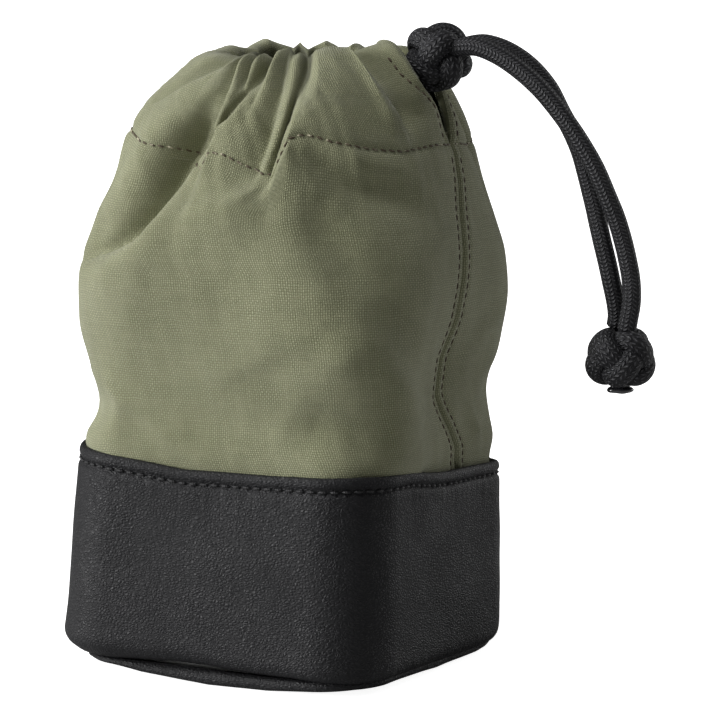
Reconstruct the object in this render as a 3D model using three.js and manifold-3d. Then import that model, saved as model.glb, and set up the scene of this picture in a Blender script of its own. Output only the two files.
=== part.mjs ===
// Lens pouch: a square-bottomed drawstring bag of canvas on a leather base.
// Millimetres, +Z up. The origin is the middle of the flat face that it stands on.
// The front looks along -Y, and the drawcord leaves the mouth on the +X side.

import * as THREE from 'three';
import { mergeVertices } from 'three/addons/utils/BufferGeometryUtils.js';
import Module from 'manifold-3d';

const wasm = await Module();
wasm.setup();

// Clearance between pieces that touch, and how near two corners are the same corner
const clearance = 0.3;
const sameCorner = 0.0005;

// Leather base: a band with a turned-under lower edge, and a bottom panel set in below it
const baseHalfWidth = 37.5;
const baseCornerRadius = 14;
const baseTopHalfWidth = 36.2;
const baseTopLean = 1.7;
const baseHeight = 43.3;
const bandThickness = 1.6;
const foldHeight = 3.1;
const foldRise = 5.2;
const flangeWidth = 4.2;
const bottomThickness = 1.6;
const bottomEdgeInset = 1.3;
const bottomFlatInset = 5.5;

// Padding and lining
const bottomPaddingThickness = 3;
const wallPaddingThickness = 3.2;
const paddingTopDrop = 1;
const liningThickness = 0.8;

// Canvas: two half panels, tucked into the band, gathered into the rim
const canvasThickness = 1;
const tuckDepth = 9.6;
const tuckClearance = 0.45;
const rimHeight = 128.3;
const rimLean = 5.4;
const casingHeight = 19.3;
const stitchHeight = rimHeight - casingHeight;
const hemAllowance = 2.5;
const hemThickness = 2.2;
const casingThickness = 8.5;
const seamGap = 0.3;
const slitHalfGap = 6;

// Pleats and drapes: how deep the deepest pleat is, how far its side reaches in turns, how far below the rim
// the pleats run out, and how far the highest drape stands out
const pleatDepth = 4;
const pleatTurnShare = 0.026;
const pleatLength = 36.3;
const pleatFadeShare = 8;
const drapeRise = 2.2;
const drapeReach = 9;

// Drawcord and its two knots
const cordDiameter = 4;
const slidingKnotRadius = 5.2;
const slidingKnotFlatShare = 0.9;
const endKnotRadius = 4.9;
const endKnotFlatShare = 0.94;
const knotWeaveDepth = 1.6;
const knotCoreInset = 0.6;
const knotBightDegrees = 62;
const knotSwellShare = 0.7;
const meltedEndRadius = 2.6;
const meltedEndThickness = 1.2;
const meltedStubLength = 2.4;

// Outline of the canvas over the band, level by level: its height as a share of the way from the band's top
// edge to the rim, its half width as a share of the base's, its corner radius as a share of that half width,
// and its lean as a share of the rim's
const outlineShares = [
  [0.026, 0.944, 0.395, 0.37],
  [0.138, 0.933, 0.457, 0.37],
  [0.244, 0.971, 0.52, 0.41],
  [0.339, 1.027, 0.57, 0.43],
  [0.43, 1.056, 0.63, 0.46],
  [0.51, 1.057, 0.7, 0.48],
  [0.59, 1.013, 0.765, 0.57],
  [0.669, 0.96, 0.82, 0.7],
  [0.722, 0.93, 0.84, 0.74],
  [0.776, 0.904, 0.862, 0.78],
  [0.81, 0.88, 0.875, 0.83],
  [0.847, 0.85, 0.887, 0.88],
  [0.882, 0.808, 0.893, 0.96],
  [0.917, 0.76, 0.9, 1.03],
  [0.965, 0.675, 0.93, 1.04],
  [1, 0.579, 0.968, 0.97],
];

// Casing in section, from the stitch row to the rim: shares of its height and of its thickness
const casingFaceShares = [
  [1, 0.26], [1, 0.54], [0.9, 0.7], [0.75, 0.94], [0.47, 1], [0.26, 0.73], [0.03, 0.26],
];
const channelShares = [
  [0.13, 0.05], [0.4, 0], [0.7, 0], [0.8, 0.45], [0.725, 0.93], [0.47, 1], [0.285, 0.63],
];
const rimShoulderShare = 0.945;
const channelWallShare = 1.2;
const innerPleatShare = 0.5;
const cordHeightShare = 0.54;
const cordDepthShare = 0.58;

// Valleys between the pleats, one to a list. Each row is how far up the pleats it lies, its place in shares of
// a turn from the slit towards the back panel, its depth as a share of the deepest, and how far its side
// reaches before that place and after it, as shares of the widest.
const valleyShares = [
  [[0.25, 0.066, 0, 0.5, 0.5], [0.52, 0.066, 0.45, 0.5, 0.5], [0.83, 0.07, 0.65, 0.5, 0.5],
    [1, 0.076, 1, 0.4, 0.4]],
  [[0.11, 0.128, 0, 0.5, 0.6], [0.47, 0.134, 0.55, 0.4, 0.6], [0.83, 0.135, 0.65, 0.4, 0.5],
    [1, 0.135, 1, 0.3, 0.4]],
  [[0, 0.204, 0, 0.9, 0.6], [0.41, 0.206, 0.65, 0.8, 0.5], [0.83, 0.206, 0.65, 0.5, 0.4],
    [1, 0.205, 1, 0.4, 0.3]],
  [[0.14, 0.262, 0, 0.5, 0.5], [0.5, 0.27, 0.5, 0.5, 0.4], [0.83, 0.268, 0.65, 0.5, 0.4],
    [1, 0.266, 1, 0.4, 0.3]],
  [[0.06, 0.318, 0, 0.5, 0.7], [0.44, 0.324, 0.6, 0.4, 0.7], [0.83, 0.319, 0.65, 0.4, 0.5],
    [1, 0.315, 1, 0.3, 0.4]],
  [[0.14, 0.372, 0, 0.5, 0.5], [0.5, 0.364, 0.5, 0.5, 0.4], [0.83, 0.358, 0.65, 0.4, 0.4],
    [1, 0.355, 1, 0.4, 0.3]],
  [[0.11, 0.446, 0, 0.5, 0.5], [0.47, 0.44, 0.5, 0.4, 0.4], [0.83, 0.435, 0.65, 0.4, 0.4],
    [1, 0.432, 1, 0.3, 0.3]],
  [[0.25, 0.53, 0, 0.5, 0.5], [0.55, 0.548, 0.4, 0.4, 0.4], [0.83, 0.555, 0.6, 0.4, 0.4],
    [1, 0.56, 0.95, 0.4, 0.4]],
  [[0.44, 0.585, 0, 0.6, 0.5], [0.52, 0.592, 0.3, 0.7, 0.4], [0.63, 0.607, 0.55, 0.7, 0.4],
    [0.78, 0.637, 0.65, 0.7, 0.4], [0.9, 0.664, 0.8, 0.6, 0.4], [1, 0.687, 0.95, 0.5, 0.4]],
  [[0, 0.68, 0.4, 1.2, 0.6], [0.11, 0.689, 0.9, 1.2, 0.5], [0.22, 0.6935, 1, 1.2, 0.4],
    [0.42, 0.7015, 0.95, 1.2, 0.4],
    [0.51, 0.7065, 0.85, 1.1, 0.4], [0.57, 0.7135, 0.75, 1, 0.4], [0.65, 0.7335, 0.65, 0.7, 0.4],
    [0.74, 0.7405, 0.68, 0.6, 0.4], [0.85, 0.7525, 0.7, 0.5, 0.4], [1, 0.763, 1, 0.4, 0.4]],
  [[0.25, 0.78, 0.1, 0.9, 0.5], [0.44, 0.784, 0.5, 0.9, 0.5], [0.54, 0.7865, 0.7, 0.8, 0.4],
    [0.68, 0.7955, 0.68, 0.7, 0.4], [0.83, 0.8055, 0.7, 0.5, 0.4], [1, 0.817, 1, 0.4, 0.4]],
  [[0.4, 0.94, 0, 0.5, 0.5], [0.56, 0.934, 0.2, 0.4, 0.6], [0.64, 0.9345, 0.6, 0.4, 0.8],
    [0.73, 0.928, 0.68, 0.4, 0.9], [0.84, 0.9225, 0.7, 0.4, 0.9], [1, 0.9205, 1, 0.4, 0.7]],
];

// Drapes and hollows below the pleats, one to a list. Each row is its place in shares of a turn, its height as
// a share of the way from the band's top edge to the rim, how far it stands out as a share of the highest, and
// how far it reaches above its line and below it, as shares of the widest.
const drapeShares = [
  [[0.786, 0.76, 0.5, 0.6, 0.4], [0.7775, 0.722, 0.8, 0.7, 0.4], [0.7625, 0.667, 0.5, 0.7, 0.4],
    [0.745, 0.63, 0.1, 0.7, 0.4]],
  [[0.702, 0.73, 0.5, 0.3, 0.9], [0.7015, 0.673, 1, 0.3, 1], [0.698, 0.606, 1.1, 0.3, 1],
    [0.695, 0.565, 1, 0.3, 1],
    [0.6825, 0.534, 0.9, 0.3, 1], [0.662, 0.5, 0.6, 0.3, 1], [0.62, 0.48, 0.1, 0.3, 0.9]],
  [[0.666, 0.54, -0.7, 0.6, 0.4], [0.6475, 0.518, -0.6, 0.6, 0.4], [0.616, 0.5, -0.4, 0.6, 0.4]],
  [[0.13, 0.714, 0.1, 0.7, 0.4], [0.18, 0.596, 0.5, 0.7, 0.4], [0.25, 0.514, 0.6, 0.7, 0.4],
    [0.33, 0.479, 0.1, 0.7, 0.4]],
  [[0.2, 0.667, -0.5, 0.7, 0.7], [0.245, 0.608, -0.9, 0.7, 0.7], [0.3, 0.573, -0.4, 0.7, 0.7]],
  [[0.988, 0.361, -0.1, 0.9, 0.9], [0.99, 0.267, -0.7, 0.9, 0.9], [0, 0.185, -0.8, 0.9, 0.9],
    [0.02, 0.102, -0.2, 0.9, 0.9]],
];

// Route of the pair of cords, as X and Z at Y = 0: out of the slit, through the sliding knot, over and down.
// The sliding knot sits where the first stretch ends, and the end knot where the last one does.
const exitRoute = [[29.4, 122.6], [32.4, 124.9], [35.4, 126.9]];
const upperRoute = [
  [35.8, 127.1], [38.8, 128.6], [42.4, 129.5], [45.6, 129.5], [50, 128], [54.6, 125.2], [58.9, 121.3],
  [62.2, 116.9], [65, 112.9], [67.3, 109], [69.1, 105.1],
];
const lowerRoute = [
  [69.3, 104.7], [71.4, 99.1], [72.8, 95.1], [74, 91.1], [75.1, 87], [76, 82.9], [76.5, 79], [76.4, 75.6],
  [75.9, 72.7],
];

// How far apart the two cords lie, and how far the pair has turned about its own line at each point
const pairGap = 0.3;
const exitTurnShares = [0, 0, 0];
const upperTurnShares = [0, 0, 0.01, 0.02, 0.03, 0.028, 0, -0.045, -0.07, -0.1, -0.14];
const lowerTurnShares = [-0.145, -0.19, -0.235, -0.265, -0.265, -0.25, -0.2, -0.155, -0.15];

// How finely the surfaces are faceted
const ringColumns = 40;
const panelColumns = 36;
const cordSides = 8;
const knotSides = 5;
const knotStretches = 6;
const stepsPerStretch = 8;
const knotCoreSides = 8;
const loopSteps = 40;
const cornerCrowding = 0.11;

const TURN = 2 * Math.PI;
const { lerp, clamp } = THREE.MathUtils;

// Turns the faces of a closed mesh outwards when they look in.
function facedOut(geometry) {
  const { array } = geometry.attributes.position;
  const faces = geometry.index.array;
  const [a, b, c] = [new THREE.Vector3(), new THREE.Vector3(), new THREE.Vector3()];
  let volume = 0;
  for (let i = 0; i < faces.length; i += 3) {
    a.fromArray(array, 3 * faces[i]);
    b.fromArray(array, 3 * faces[i + 1]);
    c.fromArray(array, 3 * faces[i + 2]);
    volume += a.dot(b.cross(c));
  }
  if (volume < 0) {
    for (let i = 0; i < faces.length; i += 3) {
      [faces[i], faces[i + 1]] = [faces[i + 1], faces[i]];
    }
  }
  return geometry;
}

// A closed mesh with its shared corners merged and its faces looking out.
function closedMesh(geometry) {
  const bare = geometry.clone();
  bare.deleteAttribute('normal');
  bare.deleteAttribute('uv');
  const merged = mergeVertices(bare, sameCorner);
  const faces = merged.index.array;
  const kept = [];
  for (let i = 0; i < faces.length; i += 3) {
    const [a, b, c] = [faces[i], faces[i + 1], faces[i + 2]];
    if (a !== b && b !== c && c !== a) kept.push(a, b, c);
  }
  merged.setIndex(new THREE.BufferAttribute(new Uint32Array(kept), 1));
  return facedOut(merged);
}

function toSolid(geometry) {
  const mesh = closedMesh(geometry);
  return new wasm.Manifold(new wasm.Mesh({
    numProp: 3,
    vertProperties: new Float32Array(mesh.attributes.position.array),
    triVerts: new Uint32Array(mesh.index.array),
  }));
}

function toGeometry(solid) {
  const mesh = solid.getMesh();
  const geometry = new THREE.BufferGeometry();
  geometry.setAttribute('position', new THREE.BufferAttribute(new Float32Array(mesh.vertProperties), 3));
  geometry.setIndex(new THREE.BufferAttribute(new Uint32Array(mesh.triVerts), 1));
  geometry.computeVertexNormals();
  return geometry;
}

// The outermost skin of a solid, so that no pocket stays sealed inside it.
function filled(geometry) {
  const faces = geometry.index.array;
  const owner = Array.from({ length: geometry.attributes.position.count }, (_, i) => i);
  const find = (i) => {
    let root = i;
    while (owner[root] !== root) root = owner[root];
    owner[i] = root;
    return root;
  };
  for (let i = 0; i < faces.length; i += 3) {
    owner[find(faces[i + 1])] = find(faces[i]);
    owner[find(faces[i + 2])] = find(faces[i]);
  }
  const skins = new Map();
  for (let i = 0; i < faces.length; i += 3) {
    const root = find(faces[i]);
    if (!skins.has(root)) skins.set(root, []);
    skins.get(root).push(faces[i], faces[i + 1], faces[i + 2]);
  }
  const largest = [...skins.values()].sort((one, other) => other.length - one.length)[0];
  geometry.setIndex(largest);
  return geometry;
}

// A solid through a row of like sections. The first section meets the last when ring is true, and otherwise
// both ends are closed flat.
function loft(sections, ring) {
  const size = sections[0].length;
  const positions = sections.flatMap((section) => section.flatMap((point) => point.toArray()));
  const faces = [];
  const spans = ring ? sections.length : sections.length - 1;
  for (let i = 0; i < spans; i += 1) {
    const here = i * size;
    const next = ((i + 1) % sections.length) * size;
    for (let j = 0; j < size; j += 1) {
      const up = (j + 1) % size;
      faces.push(here + j, next + j, next + up, here + j, next + up, here + up);
    }
  }
  if (!ring) {
    const last = (sections.length - 1) * size;
    const outline = sections[0].map((point) => new THREE.Vector2(Math.hypot(point.x, point.y), point.z));
    for (const [a, b, c] of THREE.ShapeUtils.triangulateShape(outline, [])) {
      faces.push(a, b, c, last + a, last + c, last + b);
    }
  }
  const geometry = new THREE.BufferGeometry();
  geometry.setAttribute('position', new THREE.Float32BufferAttribute(positions, 3));
  geometry.setIndex(faces);
  const mesh = closedMesh(geometry);
  mesh.computeVertexNormals();
  return mesh;
}

// Distance from the middle to the edge of a square with rounded corners, in the direction of an angle.
function roundedSquareReach(angle, halfWidth, corner) {
  const long = Math.max(Math.abs(Math.cos(angle)), Math.abs(Math.sin(angle)));
  const short = Math.min(Math.abs(Math.cos(angle)), Math.abs(Math.sin(angle)));
  const middle = halfWidth - corner;
  const flat = halfWidth / long;
  if (flat * short <= middle) return flat;
  return middle * (long + short) + Math.sqrt(corner ** 2 - (middle * (long - short)) ** 2);
}

// Value at a height, read along straight lines between the values of a table.
function along(heights, values, height) {
  const last = heights.length - 1;
  if (height <= heights[0]) return values[0];
  for (let i = 1; i <= last; i += 1) {
    if (height <= heights[i]) {
      return lerp(values[i - 1], values[i], (height - heights[i - 1]) / (heights[i] - heights[i - 1]));
    }
  }
  return values[last];
}

// The band's outline, and the outline of what is tucked into it
const tuckedHalfWidth = baseTopHalfWidth - bandThickness - tuckClearance;
const tuckBottom = baseHeight - tuckDepth;
const bandFoot = foldHeight + foldRise;

function bandHalfWidth(height) {
  return along([bandFoot, baseHeight], [baseHalfWidth, baseTopHalfWidth], height);
}

// The canvas outline by height
const outlineHeights = [baseHeight, ...outlineShares.map(([share]) => lerp(baseHeight, rimHeight, share))];
const outlineWidths = [tuckedHalfWidth, ...outlineShares.map(([, share]) => share * baseHalfWidth)];
const outlineCorners = [
  baseCornerRadius - bandThickness - tuckClearance,
  ...outlineShares.map(([, width, share]) => share * width * baseHalfWidth),
];
const leanHeights = [bandFoot, ...outlineHeights];
const leans = [0, baseTopLean, ...outlineShares.map(([, , , share]) => share * rimLean)];

function leanAt(height) {
  return along(leanHeights, leans, height);
}

function canvasHalfWidth(height) {
  if (height < baseHeight) return bandHalfWidth(height) - bandThickness - tuckClearance;
  return along(outlineHeights, outlineWidths, height);
}

function canvasCorner(height) {
  return along(outlineHeights, outlineCorners, height);
}

// The shorter way from one place to another, in turns.
function turnBetween(from, to) {
  return to - from - Math.round(to - from);
}

// How far the cloth is drawn in by its pleats: each valley falls off on both sides of its line.
function pleatInset(angle, height) {
  const rise = 1 - (rimHeight - height) / pleatLength;
  const depths = valleyShares.map((rows) => {
    const rises = rows.map(([share]) => share);
    const column = (i) => along(rises, rows.map((row) => row[i]), rise);
    const [place, depth, before, after] = [1, 2, 3, 4].map(column);
    const away = turnBetween(place, angle / TURN) / pleatTurnShare;
    return depth * Math.exp(-((away / (away < 0 ? before : after)) ** 2));
  });
  return pleatDepth * clamp(rise * pleatFadeShare, 0, 1) * Math.max(...depths);
}

// How far the cloth stands out over its drapes: each falls off with the distance from its line.
function drapeOutset(angle, height) {
  const round = TURN * canvasHalfWidth(height);
  let total = 0;
  for (const rows of drapeShares) {
    let nearest = Infinity;
    let stands = 0;
    for (let i = 1; i < rows.length; i += 1) {
      const [from, to] = [rows[i - 1], rows[i]];
      const start = new THREE.Vector2(0, lerp(baseHeight, rimHeight, from[1]));
      const end = new THREE.Vector2(round * turnBetween(from[0], to[0]), lerp(baseHeight, rimHeight, to[1]));
      const place = new THREE.Vector2(round * turnBetween(from[0], angle / TURN), height);
      const way = end.clone().sub(start);
      const share = clamp(place.clone().sub(start).dot(way) / way.lengthSq(), 0, 1);
      const gap = place.sub(start).addScaledVector(way, -share);
      const reach = drapeReach * lerp(from[gap.y > 0 ? 3 : 4], to[gap.y > 0 ? 3 : 4], share);
      if (gap.length() / reach < nearest) {
        nearest = gap.length() / reach;
        stands = lerp(from[2], to[2], share);
      }
    }
    total += stands * Math.exp(-(nearest ** 2));
  }
  return drapeRise * total;
}

// Distance of the cloth from the pouch's middle, less an inset, with its drapes and with as much of the pleats
// as pleatShare says.
function canvasReach(angle, height, inset, pleatShare) {
  const reach = roundedSquareReach(angle, canvasHalfWidth(height), canvasCorner(height));
  return reach + drapeOutset(angle, height) - inset - pleatShare * pleatInset(angle, height);
}

function pointAt(angle, reach, height) {
  return new THREE.Vector3(leanAt(height) + reach * Math.cos(angle), reach * Math.sin(angle), height);
}

// Moves an angle nearer to the pouch's corner beside it.
function crowded(angle) {
  return angle + cornerCrowding * Math.sin(4 * angle);
}

function ringAngles(columns) {
  return Array.from({ length: columns }, (_, i) => crowded((TURN * i) / columns));
}

// A ring or a dish: each point of the section is a half width, a corner radius and a height.
function ringPoint(angle, [halfWidth, corner, height]) {
  return pointAt(angle, halfWidth > 0 ? roundedSquareReach(angle, halfWidth, corner) : 0, height);
}

function ringSolid(section) {
  return loft(ringAngles(ringColumns).map((angle) => section.map((point) => ringPoint(angle, point))), true);
}

// A section point that keeps the base's corner shape when it lies further in.
function inset(halfWidth, depth, height) {
  return [halfWidth - depth, baseCornerRadius - depth, height];
}

function leatherWall() {
  const inner = (height) => inset(bandHalfWidth(height), bandThickness, height);
  const edge = bandThickness / 3;
  const flangeTop = foldHeight + bandThickness;
  return ringSolid([
    inset(baseHalfWidth, flangeWidth, foldHeight),
    inset(baseHalfWidth, 2 * edge, foldHeight),
    inset(baseHalfWidth, 0, foldHeight + edge),
    inset(baseHalfWidth, 0, bandFoot),
    inset(baseTopHalfWidth, 0, baseHeight - edge),
    inset(baseTopHalfWidth, edge, baseHeight),
    inset(baseTopHalfWidth, 2 * edge, baseHeight),
    inner(baseHeight - edge),
    inner(bandFoot),
    inset(baseHalfWidth, bandThickness, flangeTop + edge),
    inset(baseHalfWidth, bandThickness + edge, flangeTop),
    inset(baseHalfWidth, flangeWidth, flangeTop),
  ]);
}

function leatherBottom() {
  const top = foldHeight - clearance;
  const edge = bottomThickness / 2;
  return ringSolid([
    [0, 0, 0],
    inset(baseHalfWidth, bottomFlatInset, 0),
    inset(baseHalfWidth, bottomEdgeInset + bottomThickness, edge / 2),
    inset(baseHalfWidth, bottomEdgeInset, bottomThickness),
    inset(baseHalfWidth, bottomEdgeInset, top),
    inset(baseHalfWidth, bottomEdgeInset + edge, top),
    inset(baseHalfWidth, bottomEdgeInset + bottomThickness, bottomThickness + edge / 2),
    inset(baseHalfWidth, bottomFlatInset, bottomThickness),
    [0, 0, bottomThickness],
  ]);
}

const bottomPaddingBase = bottomThickness + clearance;
const bottomPaddingTop = bottomPaddingBase + bottomPaddingThickness;
const bottomPaddingInset = flangeWidth + clearance;
const paddingTop = baseHeight - paddingTopDrop;
const liningInset = bandThickness + clearance + wallPaddingThickness + clearance;

function bottomPadding() {
  const edge = bottomPaddingThickness / 3;
  const foot = bottomPaddingInset + bottomThickness;
  return ringSolid([
    [0, 0, bottomPaddingBase],
    inset(baseHalfWidth, bottomFlatInset, bottomPaddingBase),
    inset(baseHalfWidth, foot, bottomPaddingBase + edge),
    inset(baseHalfWidth, bottomPaddingInset, bottomPaddingBase + 2 * edge),
    inset(baseHalfWidth, bottomPaddingInset, bottomPaddingTop - edge / 2),
    inset(baseHalfWidth, bottomPaddingInset + edge, bottomPaddingTop),
    [0, 0, bottomPaddingTop],
  ]);
}

function wallPadding() {
  const bottom = foldHeight + bandThickness + clearance;
  const outer = bandThickness + clearance;
  const step = tuckBottom - clearance;
  const behindCanvas = bandThickness + 2 * tuckClearance + canvasThickness;
  const innerFace = outer + wallPaddingThickness;
  return ringSolid([
    inset(baseHalfWidth, innerFace, bottom),
    inset(baseHalfWidth, outer + bandThickness, bottom),
    inset(baseHalfWidth, outer, bandFoot),
    inset(bandHalfWidth(step), outer, step),
    inset(bandHalfWidth(step), behindCanvas, step),
    inset(bandHalfWidth(paddingTop), behindCanvas, paddingTop),
    inset(bandHalfWidth(paddingTop), innerFace, paddingTop),
    inset(baseHalfWidth, innerFace, bandFoot),
  ]);
}

// The lining is a bag that follows the padding below and the canvas above, up to the casing's hem.
function lining() {
  const bottom = bottomPaddingTop + clearance;
  const top = stitchHeight - hemAllowance - clearance;
  const behindCanvas = canvasThickness + clearance;
  const heights = [...outlineHeights.filter((height) => height > baseHeight && height < top), top];
  const face = (angle, depth) => [
    ...[
      [0, 0, bottom + depth],
      inset(baseHalfWidth, 2 * liningInset, bottom + depth),
      inset(baseHalfWidth, liningInset + depth, bandFoot + depth),
      inset(bandHalfWidth(paddingTop), liningInset + depth, paddingTop + clearance),
    ].map((point) => ringPoint(angle, point)),
    ...heights.map((height) => pointAt(angle, canvasReach(angle, height, behindCanvas + depth, 1), height)),
  ];
  return loft(ringAngles(2 * panelColumns).map((angle) => (
    [...face(angle, 0), ...face(angle, liningThickness).reverse()]
  )), true);
}

// Half the gap between the two panels on the slit's side: a closed seam below the stitch row, open above it.
function slitHalfWidth(height) {
  const rise = clamp((height - stitchHeight) / casingHeight, 0, 1);
  return lerp(seamGap / 2, slitHalfGap, rise);
}

const channelWall = channelWallShare * canvasThickness;
const hemBottom = stitchHeight - hemAllowance;

// The casing's points: height, inset from the outer face, and how much of the pleats they take
function casingPoint([heightShare, depthShare], outerInset, innerInset) {
  return {
    height: stitchHeight + heightShare * casingHeight,
    depth: lerp(outerInset, innerInset, depthShare),
    pleats: lerp(1, innerPleatShare, depthShare),
  };
}

function panelSection() {
  const shoulder = stitchHeight + rimShoulderShare * casingHeight;
  const outer = [tuckBottom, ...outlineHeights.filter((height) => height < shoulder), shoulder];
  const inner = outer.filter((height) => height < hemBottom - canvasThickness).reverse();
  return [
    ...outer.map((height) => ({ height, depth: 0, pleats: 1 })),
    ...casingFaceShares.map((shares) => casingPoint(shares, 0, casingThickness)),
    { height: hemBottom, depth: hemThickness, pleats: 1 },
    { height: hemBottom, depth: canvasThickness, pleats: 1 },
    ...inner.map((height) => ({ height, depth: canvasThickness, pleats: 1 })),
  ];
}

function channelSection() {
  return channelShares.map((shares) => casingPoint(shares, channelWall, casingThickness - channelWall));
}

// Carries a section half round the pouch, against the turn's sense, so that its facets run as the lining's do.
// side is 1 for the back half and -1 for the front, and reachPast lengthens both ends.
function halfRound(section, side, reachPast) {
  const column = (share) => section.map(({ height, depth, pleats }) => {
    const radius = canvasHalfWidth(height) - depth;
    const start = (slitHalfWidth(height) - reachPast) / radius;
    const end = Math.PI - (seamGap / 2 - reachPast) / radius;
    const angle = side * lerp(start, end, side > 0 ? 1 - share : share);
    return pointAt(angle, canvasReach(angle, height, depth, pleats), height);
  });
  const shares = Array.from({ length: panelColumns + 1 }, (_, i) => (
    crowded((Math.PI * i) / panelColumns) / Math.PI
  ));
  return loft(shares.map(column), false);
}

// The drawcord: a round section carried along a smooth line.
class Route extends THREE.Curve {
  constructor(points) {
    super();
    this.line = new THREE.CatmullRomCurve3(points, false, 'centripetal');
  }

  getPoint(share, target = new THREE.Vector3()) {
    return this.line.getPoint(share, target);
  }
}

function cordSection(radius, sides) {
  const section = new THREE.Shape();
  for (let i = 0; i < sides; i += 1) {
    const angle = (TURN * i) / sides;
    const corner = [radius * Math.cos(angle), radius * Math.sin(angle)];
    if (i === 0) section.moveTo(...corner);
    else section.lineTo(...corner);
  }
  section.closePath();
  return section;
}

function cordTube(curve, radius, sides, steps) {
  const settings = { steps, bevelEnabled: false, extrudePath: curve };
  return new THREE.ExtrudeGeometry(cordSection(radius, sides), settings);
}

// One cord of the pair: it lies half the pair's width to one side of the route, and the pair turns about its
// own line.
function strandPoints(route, turnShares, side) {
  const offset = side * (cordDiameter + pairGap) / 2;
  return route.map(([x, z], i) => {
    const before = route[Math.max(i - 1, 0)];
    const after = route[Math.min(i + 1, route.length - 1)];
    const heading = Math.atan2(after[1] - before[1], after[0] - before[0]);
    const turn = TURN * turnShares[i];
    const outward = offset * Math.sin(turn);
    return new THREE.Vector3(
      x - outward * Math.sin(heading),
      offset * Math.cos(turn),
      z + outward * Math.cos(heading),
    );
  });
}

const upperStrands = [-1, 1].map((side) => strandPoints(upperRoute, upperTurnShares, side));
const lowerStrands = [-1, 1].map((side) => strandPoints(lowerRoute, lowerTurnShares, side));

// The loop lies in the casing, leaves it on both sides of the slit, and ends in the sliding knot.
const loopHeight = stitchHeight + cordHeightShare * casingHeight;
const loopDepth = cordDepthShare * casingThickness;

function loopPoints() {
  const half = (side) => strandPoints(exitRoute, exitTurnShares, side);
  const reach = canvasHalfWidth(loopHeight) - loopDepth;
  const start = (slitHalfWidth(loopHeight) + cordDiameter) / reach;
  const round = Array.from({ length: loopSteps + 1 }, (_, i) => {
    const angle = lerp(start, TURN - start, i / loopSteps);
    return pointAt(angle, canvasReach(angle, loopHeight, loopDepth, innerPleatShare), loopHeight);
  });
  return [...half(1).reverse(), ...round, ...half(-1)];
}

// The weave of a button knot: one strand goes three times round a ball and four times from top to bottom,
// and passes over and under itself in turn at each of its eight crossings.
class WovenBall extends THREE.Curve {
  constructor(radius, flatShare) {
    super();
    this.radius = radius;
    this.flatShare = flatShare;
  }

  getPoint(share, target = new THREE.Vector3()) {
    const turn = TURN * share;
    const latitude = THREE.MathUtils.degToRad(knotBightDegrees) * Math.cos(4 * turn);
    const reach = this.radius + knotWeaveDepth * Math.sin(8 * turn);
    return target.set(
      reach * Math.cos(latitude) * Math.cos(3 * turn),
      reach * Math.cos(latitude) * Math.sin(3 * turn),
      reach * Math.sin(latitude) * this.flatShare,
    );
  }
}

// A stretch of a curve.
class Stretch extends THREE.Curve {
  constructor(curve, from, to) {
    super();
    Object.assign(this, { curve, from, to });
  }

  getPoint(share, target = new THREE.Vector3()) {
    return this.curve.getPoint(lerp(this.from, this.to, share), target);
  }
}

// A woven ball with a packed middle, its axis along +Z and its middle at the origin.
function knotSolid(radius, flatShare) {
  const weave = new WovenBall(radius, flatShare);
  const core = new THREE.SphereGeometry(radius - knotCoreInset, knotCoreSides, knotCoreSides / 2);
  core.scale(1, 1, flatShare);
  let solid = toSolid(core);
  for (let i = 0; i < knotStretches; i += 1) {
    const from = i / knotStretches;
    const to = (i + 1 + 1 / (2 * stepsPerStretch)) / knotStretches;
    const tube = cordTube(new Stretch(weave, from, to), cordDiameter / 2, knotSides, stepsPerStretch);
    solid = solid.add(toSolid(tube));
  }
  return solid;
}

// Both cords of a pair, thicker by the clearance, as one tool for the way through a knot.
function pairTool(pair, steps) {
  const radius = cordDiameter / 2 + clearance;
  const [first, second] = pair.map((points) => (
    toSolid(cordTube(new Route(points), radius, cordSides, steps))
  ));
  return first.add(second);
}

function loopTube(radius) {
  return cordTube(new Route(loopPoints()), radius, cordSides, loopSteps + exitRoute.length * 4);
}

const slidingKnotPlace = new THREE.Vector3(exitRoute.at(-1)[0], 0, exitRoute.at(-1)[1]);
const slidingKnotTilt = Math.atan2(upperRoute[2][1] - exitRoute[0][1], upperRoute[2][0] - exitRoute[0][0]);
const knotReach = slidingKnotRadius + knotSwellShare * knotWeaveDepth + cordDiameter / 2;

function slidingKnot() {
  const axisTurn = new THREE.Matrix4().makeRotationY(Math.PI / 2 - slidingKnotTilt);
  const placed = axisTurn.setPosition(slidingKnotPlace);
  const knot = toGeometry(knotSolid(slidingKnotRadius, slidingKnotFlatShare)).applyMatrix4(placed);
  const wayIn = toSolid(loopTube(cordDiameter / 2 + clearance));
  const wayOn = pairTool(upperStrands, upperRoute.length);
  return filled(toGeometry(toSolid(knot).subtract(wayIn).subtract(wayOn)));
}

const endKnotHalfHeight = (endKnotRadius * endKnotFlatShare) + cordDiameter / 4;
const endKnotPlace = new THREE.Vector3(
  lowerRoute.at(-1)[0],
  0,
  lowerRoute.at(-1)[1] - endKnotHalfHeight + clearance,
);

function meltedEnd() {
  const half = meltedEndThickness / 2;
  const stub = cordDiameter / 2;
  const profile = [
    [0, -meltedEndThickness],
    [meltedEndRadius - half, -meltedEndThickness],
    [meltedEndRadius, -half],
    [meltedEndRadius - half / 2, 0],
    [stub, 0],
    [stub, meltedStubLength],
    [0, meltedStubLength],
  ].map(([x, y]) => new THREE.Vector2(x, y));
  const drop = endKnotPlace.z - endKnotHalfHeight - clearance;
  return new THREE.LatheGeometry(profile, 2 * cordSides).rotateX(Math.PI / 2)
    .translate(endKnotPlace.x, 0, drop);
}

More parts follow.
